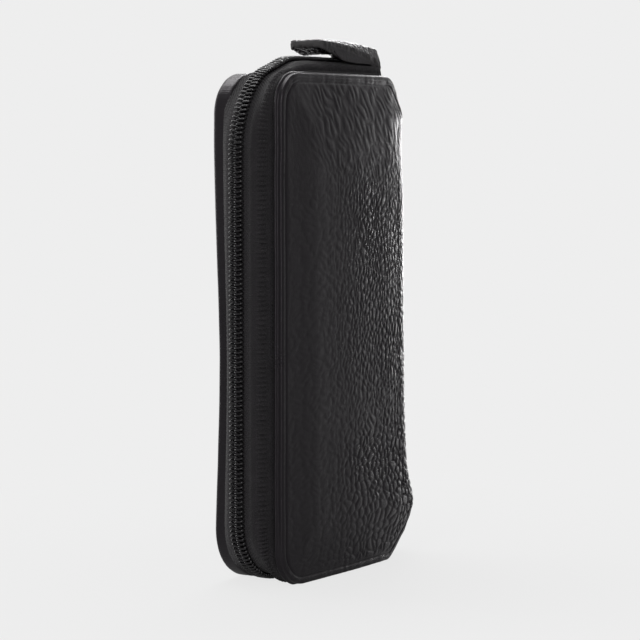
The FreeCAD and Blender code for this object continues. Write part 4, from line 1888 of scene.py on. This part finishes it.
def spline_weights(share: Array, controls: int) -> Array:
    """Weights of a smooth curve's control points.

    Args:
        share: Places along the curve, from 0 to 1.
        controls: Number of control points.

    Returns:
        One row of weights for each place.
    """
    degree = 2
    inner = np.linspace(0.0, 1.0, controls - degree + 1)
    knots = np.concatenate([np.zeros(degree), inner, np.ones(degree)])
    place = np.clip(share, 0.0, 1.0 - TINY)[:, None]
    weights = ((place >= knots[:-1]) & (place < knots[1:])).astype(float)
    for order in range(1, degree + 1):
        low_span = knots[order:-1] - knots[: -order - 1]
        high_span = knots[order + 1 :] - knots[1:-order]
        low = (place - knots[: -order - 1]) / np.where(low_span > 0, low_span, 1.0) * weights[:, :-1]
        high = (knots[order + 1 :] - place) / np.where(high_span > 0, high_span, 1.0) * weights[:, 1:]
        weights = low * (low_span > 0) + high * (high_span > 0)
    return weights


@dataclass(frozen=True)
class ZipCoil:
    """One row of the coil: a nylon wire wound in flat loops that hook into the other row."""

    run: ZipRun
    side: Side
    pitch: float = 1.09
    wire: float = 0.29
    reach: float = 1.65
    overlap: float = 0.24
    depth: float = 1.26
    loop_fullness: float = 0.65
    steps: int = 16
    sides: int = 6
    end_gap: float = 6.6

    def build(self) -> Piece:
        """Builds the coil row.

        Returns:
            The piece.
        """
        total = self.run.lengths().sum()
        start = self.end_gap
        turns = int((total - start - self.end_gap) / self.pitch)
        turn = np.linspace(0.0, turns, turns * self.steps + 1)
        half = 0.5 if self.side is Side.BACK else 0.0
        angle = turn * math.tau
        swing = np.sign(np.cos(angle)) * np.abs(np.cos(angle)) ** self.loop_fullness
        climb = np.sign(np.sin(angle)) * np.abs(np.sin(angle)) ** self.loop_fullness
        y = (self.reach - self.overlap) / 2 + (self.reach + self.overlap) / 2 * swing
        inset = self.depth / 2 - (self.depth / 2 - self.wire) * climb
        way = start + (turn + half) * self.pitch
        place = self.run.chain(way, inset, self.run.end)
        line = np.stack([place[:, 0], self.run.middle + y * self.side.value, place[:, 1]], axis=1)
        return add_piece(f"{self.side.word}_coil_row", tube(line, self.wire, self.sides))

    def mount(self, piece: Piece, finishes: Finishes) -> None:
        """Dresses the coil row and sets it on its cover."""
        word = self.side.word
        mount(piece, f"{word}_cover", finishes.coil, Slot.COIL, f"{word}_zip_coil")


@dataclass(frozen=True)
class TapeEnd:
    """The folded tape ends that close the spine at one end of the case."""

    sizes: CaseSizes
    node: str
    at_top: bool
    fall: float = 5.5
    columns: int = 14
    fold_depth: float = 0.5
    fold_wide_share: float = 0.12
    soft_share: float = 0.35
    soft_swell_share: float = 1.15

    def build(self) -> Piece:
        """Builds the folded ends as one soft block with a fold along its middle.

        Returns:
            The piece.
        """
        low, high = node_box(self.node)
        shell = bmesh.new()
        bmesh.ops.create_cube(shell, size=2.0)
        bmesh.ops.subdivide_edges(shell, edges=shell.edges[:], cuts=self.columns, use_grid_fill=True)
        points, faces = mesh_of(shell)
        soft = unit(points) * np.max(np.abs(points), axis=1, keepdims=True)
        cube = points + (soft * self.soft_swell_share - points) * self.soft_share
        share = (cube + 1.0) / 2.0
        placed = low + (high - low) * share
        outward = share[:, 2] if self.at_top else 1.0 - share[:, 2]
        slope = self.fall * np.clip(share[:, 0], 0.0, 1.0) * outward
        crease = bell(cube[:, 1], 0.0, self.fold_wide_share, self.fold_depth) * outward
        placed[:, 2] -= (slope + crease) * (1.0 if self.at_top else -1.0)
        name = "top_folded_tape" if self.at_top else "bottom_folded_tape"
        return add_piece(name, (self.sizes.settle(placed), faces))

    def mount(self, piece: Piece, finishes: Finishes) -> None:
        """Dresses the folded ends and sets them on the spine."""
        mount(piece, "spine", finishes.tape_end, Slot.TAPE, self.node)


@dataclass(frozen=True)
class PullTab:
    """The leather pull tab: a thick bowed strip with raw edges that droops beside the slider."""

    pebbles: Pebbles
    pin_x: float
    pin_z: float
    free_x: float
    half_width: float
    end_reach: float = 1.1
    thickness: float = 1.95
    edge_swell: float = 0.25
    belly: float = 1.25
    belly_full: float = 6.5
    belly_end: float = 13.0
    loop: float = 1.1
    rise: float = 1.35
    bow: float = 0.5
    edge_start: float = 0.3
    edge_fall: float = 4.4
    edge_power: float = 1.7
    far_fall_share: float = 0.12
    flat_half: float = 3.3
    bend_power: float = 1.3
    slot: float = 2.9
    skin: float = 0.22
    skin_reach: float = 0.2
    strap_half: float = 2.62
    strap_root: float = 1.0
    cheek_inner: float = 3.78
    cheek_stand: float = 0.06
    cheek_start: float = 3.6
    cheek_strips: int = 8
    cheek_low: float = 2.8
    cheek_fade: float = 2.8
    cheek_reach: float = 0.5
    cheek_round: float = 2.0
    cheek_drop: float = 0.95
    cheek_soft_share: float = 0.25
    strap_stations: int = 6
    strap_steps: int = 13
    step: float = 0.28
    edge_round: float = 0.35
    edge_steps: int = 4
    end_corner: float = 1.2
    end_round: float = 0.9
    end_ply_share: float = 0.35
    grain: float = 0.26
    grain_level_share: float = 0.75
    under_grain: float = 0.4
    under_shift_share: float = 8.0
    smooth_share: float = 0.2
    raw_share: float = 0.65
    raw_spread_share: float = 0.35
    raw_rough: float = 0.14
    raw_spot: float = 0.55

    @classmethod
    def from_frame(cls, pebbles: Pebbles) -> "PullTab":
        """Reads the tab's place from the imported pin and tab.

        Args:
            pebbles: The leather's grain.

        Returns:
            The tab.
        """
        pin_low, pin_high = node_box("pull_pin")
        tab_low, tab_high = node_box("pull_tab_leather")
        pin = (pin_low + pin_high) / 2
        free_x = tab_low[0] - cls.end_reach
        return cls(pebbles, pin_x=pin[0], pin_z=pin[2], free_x=free_x, half_width=tab_high[1])

    def top(self, x: Array, y: Array) -> Array:
        """Height of the tab's upper face.

        Args:
            x: Places along the tab.
            y: Places across it.

        Returns:
            The heights.
        """
        length = self.pin_x - self.free_x
        share = (self.pin_x - x) / length
        arch = 1.0 - (share * 2.0 - 1.0) ** 2
        middle = self.pin_z + self.loop + self.rise * share + self.bow * arch
        run = np.maximum((x - self.free_x) / length, 0.0)
        edge = self.pin_z + self.loop + self.rise - self.edge_start - self.edge_fall * run**self.edge_power
        bend = np.clip((np.abs(y) - self.flat_half) / (self.half_width - self.flat_half), 0.0, 1.0)
        fall_share = np.where(y < 0.0, 1.0, self.far_fall_share)
        return middle - (middle - edge) * fall_share * bend**self.bend_power

    def section(self) -> tuple[Array, Array]:
        """Points round the tab's cross-section.

        Returns:
            Places across the tab and depths below its upper face.
        """
        half, soft = self.half_width, self.edge_round
        wide = np.linspace(-half + soft, half - soft, math.ceil(half * 2 / self.step))
        deep = np.linspace(soft, self.thickness - soft, math.ceil(self.thickness / self.step))
        turn = np.linspace(0.0, math.pi / 2, self.edge_steps)[1:-1]
        near = soft - soft * np.cos(turn)
        far = soft - soft * np.sin(turn)
        flat = np.zeros(len(wide))
        right = np.concatenate([half - far, np.full(len(deep), half), half - near])
        down = np.concatenate([near, deep, self.thickness - far])
        across = np.concatenate([wide, right, wide[::-1], -right[::-1]])
        depth = np.concatenate([flat, down, flat + self.thickness, down[::-1]])
        return across, depth

    def strip(self) -> tuple[Mesh, Array, Array]:
        """The wide part of the tab.

        Returns:
            Points and faces, and the grain and the raw edge's share at each point.
        """
        across, depth = self.section()
        stop = self.pin_x + self.skin_reach
        x = np.linspace(self.free_x, stop, math.ceil((stop - self.free_x) / self.step))
        past = np.clip(1.0 - (x - self.free_x) / self.end_corner, 0.0, 1.0)
        narrow = 1.0 - self.end_corner * (1.0 - np.sqrt(1.0 - past**2)) / self.half_width
        shape = (len(x), len(across))
        long_x = np.broadcast_to(x[:, None], shape)
        y = across[None, :] * narrow[:, None]
        on_face = np.broadcast_to((np.abs(across) < self.half_width - self.edge_round / 2)[None, :], shape)
        below = np.broadcast_to((depth > self.thickness / 2)[None, :], shape)
        place = np.where(below, y + self.half_width * self.under_shift_share, y)
        cell = self.pebbles.pebble
        grain = self.pebbles.domes(long_x / cell, place / cell, self.pebbles.furrow_share, Seed.TAB)
        rough = drift(long_x / self.raw_spot, (y + depth[None, :]) / self.raw_spot, Seed.RAW)
        ply = self.thickness + self.edge_swell * ease(self.flat_half, self.half_width, np.abs(y))
        from_end = long_x - self.free_x
        belly = ease(0.0, self.belly_full, from_end)
        belly = belly * (1.0 - ease(self.belly_full, self.belly_end, from_end))
        ply = ply + self.belly * belly
        over_slot = (long_x > self.pin_x - self.slot) & (np.abs(y) < self.cheek_inner)
        ply = np.where(over_slot, self.skin, ply)
        end_share = np.clip((x - self.free_x) / self.end_round, 0.0, 1.0)
        thin = self.end_ply_share + (1.0 - self.end_ply_share) * np.sqrt(1.0 - (1.0 - end_share) ** 2)
        sink = ((depth[None, :] / self.thickness - 0.5) * thin[:, None] + 0.5) * ply
        depth_of_grain = np.where(below, self.under_grain, self.grain)
        lift = np.where(on_face, depth_of_grain * (grain - self.grain_level_share), self.raw_rough * rough)
        z = self.top(long_x, y) - sink + np.where(below, -lift, lift)
        sideways = np.where(on_face, 0.0, self.raw_rough * rough) * np.sign(across)[None, :]
        rings = np.stack([long_x, y + sideways, z], axis=-1)
        raw = np.where(on_face, 0.0, self.raw_share + rough * self.raw_spread_share)
        raw = np.maximum(raw, (1.0 - end_share)[:, None])
        return loft(rings), grain.ravel(), raw.ravel()

    def strap(self) -> Mesh:
        """The narrow strap that goes round the pin.

        Returns:
            Points and faces.
        """
        root = self.pin_x - self.slot - self.strap_root
        middle = np.zeros(self.strap_stations)
        top_x = np.linspace(root, self.pin_x, len(middle))
        top_z = self.top(top_x, middle)
        outline = list(zip(top_x, top_z))
        for angle in np.linspace(math.pi / 2, -math.pi / 2, self.strap_steps)[1:]:
            reach, climb = self.loop * math.cos(angle), self.loop * math.sin(angle)
            outline.append((self.pin_x + reach, self.pin_z + climb))
        low = top_z[0] - self.thickness
        outline.append((self.pin_x - self.loop, low))
        outline.append((root, low))
        return cut_block(outline, -self.strap_half, self.strap_half, self.edge_round / 2)

    def cheek(self) -> Mesh:
        """The smooth flap that hangs down beside the slider on the near side.

        Returns:
            Points and faces.
        """
        start = self.free_x + self.cheek_start
        stop = self.pin_x + self.cheek_reach
        x = np.linspace(start, stop, math.ceil((stop - start) / self.step))
        past = np.clip(1.0 - (stop - x) / self.cheek_round, 0.0, 1.0)
        fall = self.cheek_round * (1.0 - np.sqrt(1.0 - past**2))
        upper = self.top(x, np.full(x.shape, -self.half_width)) - self.cheek_drop - fall
        low = self.pin_z - self.cheek_low
        lower = low + (upper - low) * np.exp(-(x - start) / self.cheek_fade)
        lower = np.minimum(lower, upper - self.edge_round)
        soft = self.edge_round * self.cheek_soft_share
        inner, outer = self.cheek_inner, self.half_width + self.cheek_stand
        down = np.linspace(0.0, 1.0, self.cheek_strips)
        flank = np.ones(len(down))
        y = np.concatenate([[inner, outer - soft], flank * outer, [outer - soft, inner]])
        share = np.concatenate([[0.0, 0.0], down, [1.0, 1.0]])
        turn = np.concatenate([[0.0, 0.0], soft * (1.0 - down * 2.0), [0.0, 0.0]])
        z = upper[:, None] + (lower - upper)[:, None] * share[None, :] - turn[None, :]
        long_x = np.broadcast_to(x[:, None], z.shape)
        return loft(np.stack([long_x, np.broadcast_to(-y[None, :], z.shape), z], axis=-1))

    def build(self) -> Piece:
        """Builds the tab.

        Returns:
            The piece.
        """
        strip, grain, raw = self.strip()
        points, faces = joined([strip, self.strap(), self.cheek()])
        piece = add_piece("pull_tab_strip", (points, faces))
        # The strap and the cheek take a tone near the furrow black as painted shade; the strip's tone
        # follows its pebbles' painted shade and light.
        pebble_lift_and_shade = np.full(len(points), self.smooth_share)
        pebble_lift_and_shade[: len(grain)] = grain
        cut_share = np.zeros(len(points))
        cut_share[: len(raw)] = raw
        keep_values(piece, PEBBLE, pebble_lift_and_shade)
        keep_values(piece, RAW_EDGE, cut_share)
        lay_cut_map(piece, np.stack([points[:, 0], points[:, 1] + points[:, 2]], axis=1))
        return piece

    def mount(self, piece: Piece, finishes: Finishes) -> None:
        """Dresses the tab and sets it on its own body."""
        mount(piece, "pull_tab", finishes.tab, Slot.TAB, "pull_tab_leather", "pull_tab_core")


@dataclass(frozen=True)
class MetalWork:
    """Rigid CAD pieces that stay as they are and get their finish."""

    lacquered: tuple[str, ...] = ("zip_slider", "pull_pin")
    spring_start: str = "hook_gate"

    def dress_nodes(self, finishes: Finishes) -> None:
        """Dresses the slider, the pin, the rail, the hooks and the gates.

        Args:
            finishes: The case's materials.
        """
        for name, node in sorted(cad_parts.items()):
            if not node.hide_render:
                dress(node, *self.finish_of(name, finishes))

    def finish_of(self, name: str, finishes: Finishes) -> tuple[Material, Slot]:
        """The finish of a rigid node.

        Args:
            name: The node's name.
            finishes: The case's materials.

        Returns:
            Its material and the record's slot.
        """
        if name in self.lacquered:
            return finishes.lacquer, Slot.LACQUER
        if name.startswith(self.spring_start):
            return finishes.spring, Slot.SPRING
        return finishes.nickel, Slot.NICKEL


@dataclass(frozen=True)
class SoftBox:
    """A soft box: its place, its size and the height it aims at in metres, and its power in watts."""

    name: str
    place: tuple[float, float, float]
    size: tuple[float, float]
    power: float
    aim: float

    def hang(self) -> None:
        """Hangs the lamp."""
        data = bpy.data.lights.new(self.name, "AREA")
        data.shape = "RECTANGLE"
        data.size, data.size_y = self.size
        data.energy = self.power
        lamp = bpy.data.objects.new(self.name, data)
        bpy.context.scene.collection.objects.link(lamp)
        lamp.location = self.place
        way = np.array([0.0, 0.0, self.aim]) - np.array(self.place)
        lamp.rotation_mode = "XYZ"
        level = math.hypot(way[0], way[1])
        lamp.rotation_euler = (math.atan2(level, -way[2]), 0.0, math.atan2(way[1], way[0]) - math.pi / 2)


@dataclass(frozen=True)
class Studio:
    """Pale floor and world, soft lamps and the camera at the photograph's angle, in metres."""

    pale: float = 0.855
    ambient: float = 0.28
    room: float = 0.175
    backdrop_from: float = 0.33
    backdrop_full: float = 0.92
    backdrop_rise: float = 0.25
    floor_half: float = 3.0
    floor_tone: float = 0.82
    shadow_reach: float = 0.16
    shadow_share: float = 0.12
    lamps: tuple[SoftBox, ...] = (
        SoftBox(name="top_box", place=(0.15, 0.25, 0.60), size=(0.5, 0.3), power=1.8, aim=0.1),
        SoftBox(name="spine_box", place=(0.60, 0.09, 0.065), size=(0.22, 0.13), power=0.75, aim=0.06),
        SoftBox(name="rim_box", place=(0.50, 0.23, 0.36), size=(0.2, 0.12), power=1.0, aim=0.11),
        SoftBox(name="left_box", place=(-0.60, -0.16, 0.30), size=(0.20, 0.4), power=1.3, aim=0.06),
        SoftBox(name="back_box", place=(-0.11, 0.60, 0.16), size=(0.10, 0.3), power=0.8, aim=0.06),
    )
    camera_place: tuple[float, float, float] = (-0.47255, -0.31339, 0.0989)
    camera_tilt: float = 85.96
    camera_turn: float = -56.61
    lens: float = 136.5
    sensor: float = 36.0
    clip_start: float = 0.01

    def backdrop(self, board: NodeBoard, way: Socket) -> Socket:
        """How bright the studio is in mirrors: a dim room, brighter towards the pale sweep behind the case.

        Args:
            board: The board of the world or the floor.
            way: Directions from the case, of length 1.

        Returns:
            The brightness.
        """
        turn = math.radians(self.camera_turn)
        ahead = (-math.sin(turn), math.cos(turn), self.backdrop_rise)
        product = board.add("ShaderNodeVectorMath", {0: way, 1: ahead}, operation="DOT_PRODUCT")
        facing = product.outputs["Value"]
        return board.step(facing, self.backdrop_from, self.backdrop_full, self.room, self.pale)

    def paint_world(self) -> None:
        """The world: pale to the camera, the backdrop in mirrors and an even dim light for the rest."""
        world = bpy.data.worlds.new("studio")
        bpy.context.scene.world = world
        world.use_nodes = True
        board = NodeBoard(world.node_tree)
        way = board.add("ShaderNodeTexCoord").outputs["Generated"]
        path = board.add("ShaderNodeLightPath").outputs
        mirrored = board.sum("MAXIMUM", path["Is Glossy Ray"], path["Is Transmission Ray"])
        lit = board.mix(mirrored, self.ambient, self.backdrop(board, way))
        level = board.mix(path["Is Camera Ray"], lit, self.pale)
        light = board.add("ShaderNodeBackground", {"Color": (1.0, 1.0, 1.0), "Strength": level})
        board.add("ShaderNodeOutputWorld", {"Surface": light.outputs["Background"]})

    def lay_floor(self) -> None:
        """The floor: as pale as the world to the camera, with the object's soft shadow close to it."""
        half = self.floor_half / MM
        corners = np.array([[-half, -half, 0.0], [half, -half, 0.0], [half, half, 0.0], [-half, half, 0.0]])
        floor = add_piece("studio_floor", (corners, [[0, 1, 2, 3]]))
        material = bpy.data.materials.new("pale_floor")
        material.use_nodes = True
        board = NodeBoard(material.node_tree)
        place = board.add("ShaderNodeTexCoord").outputs["Object"]
        away = board.add("ShaderNodeVectorMath", {0: place}, operation="LENGTH").outputs["Value"]
        near = board.step(away, 0.0, self.shadow_reach, self.shadow_share, 0.0)
        path = board.add("ShaderNodeLightPath").outputs
        direct = board.sum("MAXIMUM", path["Is Camera Ray"], path["Is Transmission Ray"])
        seen = board.sum("MAXIMUM", direct, path["Is Glossy Ray"])
        way = board.add("ShaderNodeVectorMath", {0: place}, operation="NORMALIZE").outputs["Vector"]
        level = board.mix(direct, self.backdrop(board, way), self.pale)
        glow = board.add("ShaderNodeEmission", {"Strength": level})
        tone = (self.floor_tone, self.floor_tone, self.floor_tone)
        matt = board.add("ShaderNodeBsdfDiffuse", {"Color": tone})
        shown = board.add("ShaderNodeMixShader", {0: near, 1: glow.outputs[0], 2: matt.outputs[0]})
        whole = board.add("ShaderNodeMixShader", {0: seen, 1: matt.outputs[0], 2: shown.outputs[0]})
        board.add("ShaderNodeOutputMaterial", {"Surface": whole.outputs[0]})
        floor.data.materials.append(material)

    def set_camera(self) -> None:
        """The camera at the photograph's angle."""
        data = bpy.data.cameras.new("photo_camera")
        data.lens = self.lens
        data.sensor_width = self.sensor
        data.clip_start = self.clip_start
        camera = bpy.data.objects.new("photo_camera", data)
        bpy.context.scene.collection.objects.link(camera)
        camera.location = self.camera_place
        camera.rotation_euler = (math.radians(self.camera_tilt), 0.0, math.radians(self.camera_turn))
        bpy.context.scene.camera = camera

    def build(self) -> None:
        """Builds the whole studio."""
        bpy.context.scene.view_settings.view_transform = "Standard"
        self.paint_world()
        self.lay_floor()
        for lamp in self.lamps:
            lamp.hang()
        self.set_camera()


def build_covers(sizes: CaseSizes, finishes: Finishes, pebbles: Pebbles) -> None:
    """Builds the leather, the board, the lining and the seam of both covers.

    Args:
        sizes: The case's sizes.
        finishes: Its materials.
        pebbles: The leather's grain.
    """
    for side in Side:
        leather = CoverLeather(sizes, side)
        leather.mount(leather.build(pebbles), finishes)
        board = CoverBoard(leather)
        board.mount(board.build(), finishes)
        lining = CoverLining(leather)
        lining.mount(lining.build(), finishes)
        seam = Stitches()
        row = seam.build(f"{side.word}_seam_stitches", lining.seam_line(), sizes.lining, side)
        seam.mount(row, side, finishes, f"{side.word}_seam_thread")


def build_pocket(finishes: Finishes) -> None:
    """Builds the slip pocket and its seam.

    Args:
        finishes: The case's materials.
    """
    pocket = SlipPocket()
    pocket.mount(pocket.build(), finishes)
    seam = Stitches()
    row = seam.build("pocket_stitches", pocket.seam_line(), pocket.seam_y(), Side.FRONT)
    seam.mount(row, Side.FRONT, finishes)


def build_zip(sizes: CaseSizes, finishes: Finishes) -> None:
    """Builds the tapes, the coil rows and the folded tape ends.

    Args:
        sizes: The case's sizes.
        finishes: Its materials.
    """
    run = ZipRun.from_frame(sizes)
    for side in Side:
        for part in (ZipTape(run, side), ZipCoil(run, side)):
            part.mount(part.build(), finishes)
    for node, at_top in (("zip_end_top", True), ("zip_end_bottom", False)):
        ends = TapeEnd(sizes, node, at_top)
        ends.mount(ends.build(), finishes)


def main() -> None:
    """Builds the case and its studio in order."""
    logging.basicConfig(level=logging.INFO, format="%(message)s")
    sizes = CaseSizes.from_frame()
    pebbles = Pebbles()
    finishes = Finishes.make()
    build_covers(sizes, finishes, pebbles)
    build_pocket(finishes)
    build_zip(sizes, finishes)
    tab = PullTab.from_frame(pebbles)
    tab.mount(tab.build(), finishes)
    MetalWork().dress_nodes(finishes)
    Studio().build()


if __name__ == "__main__":
    main()
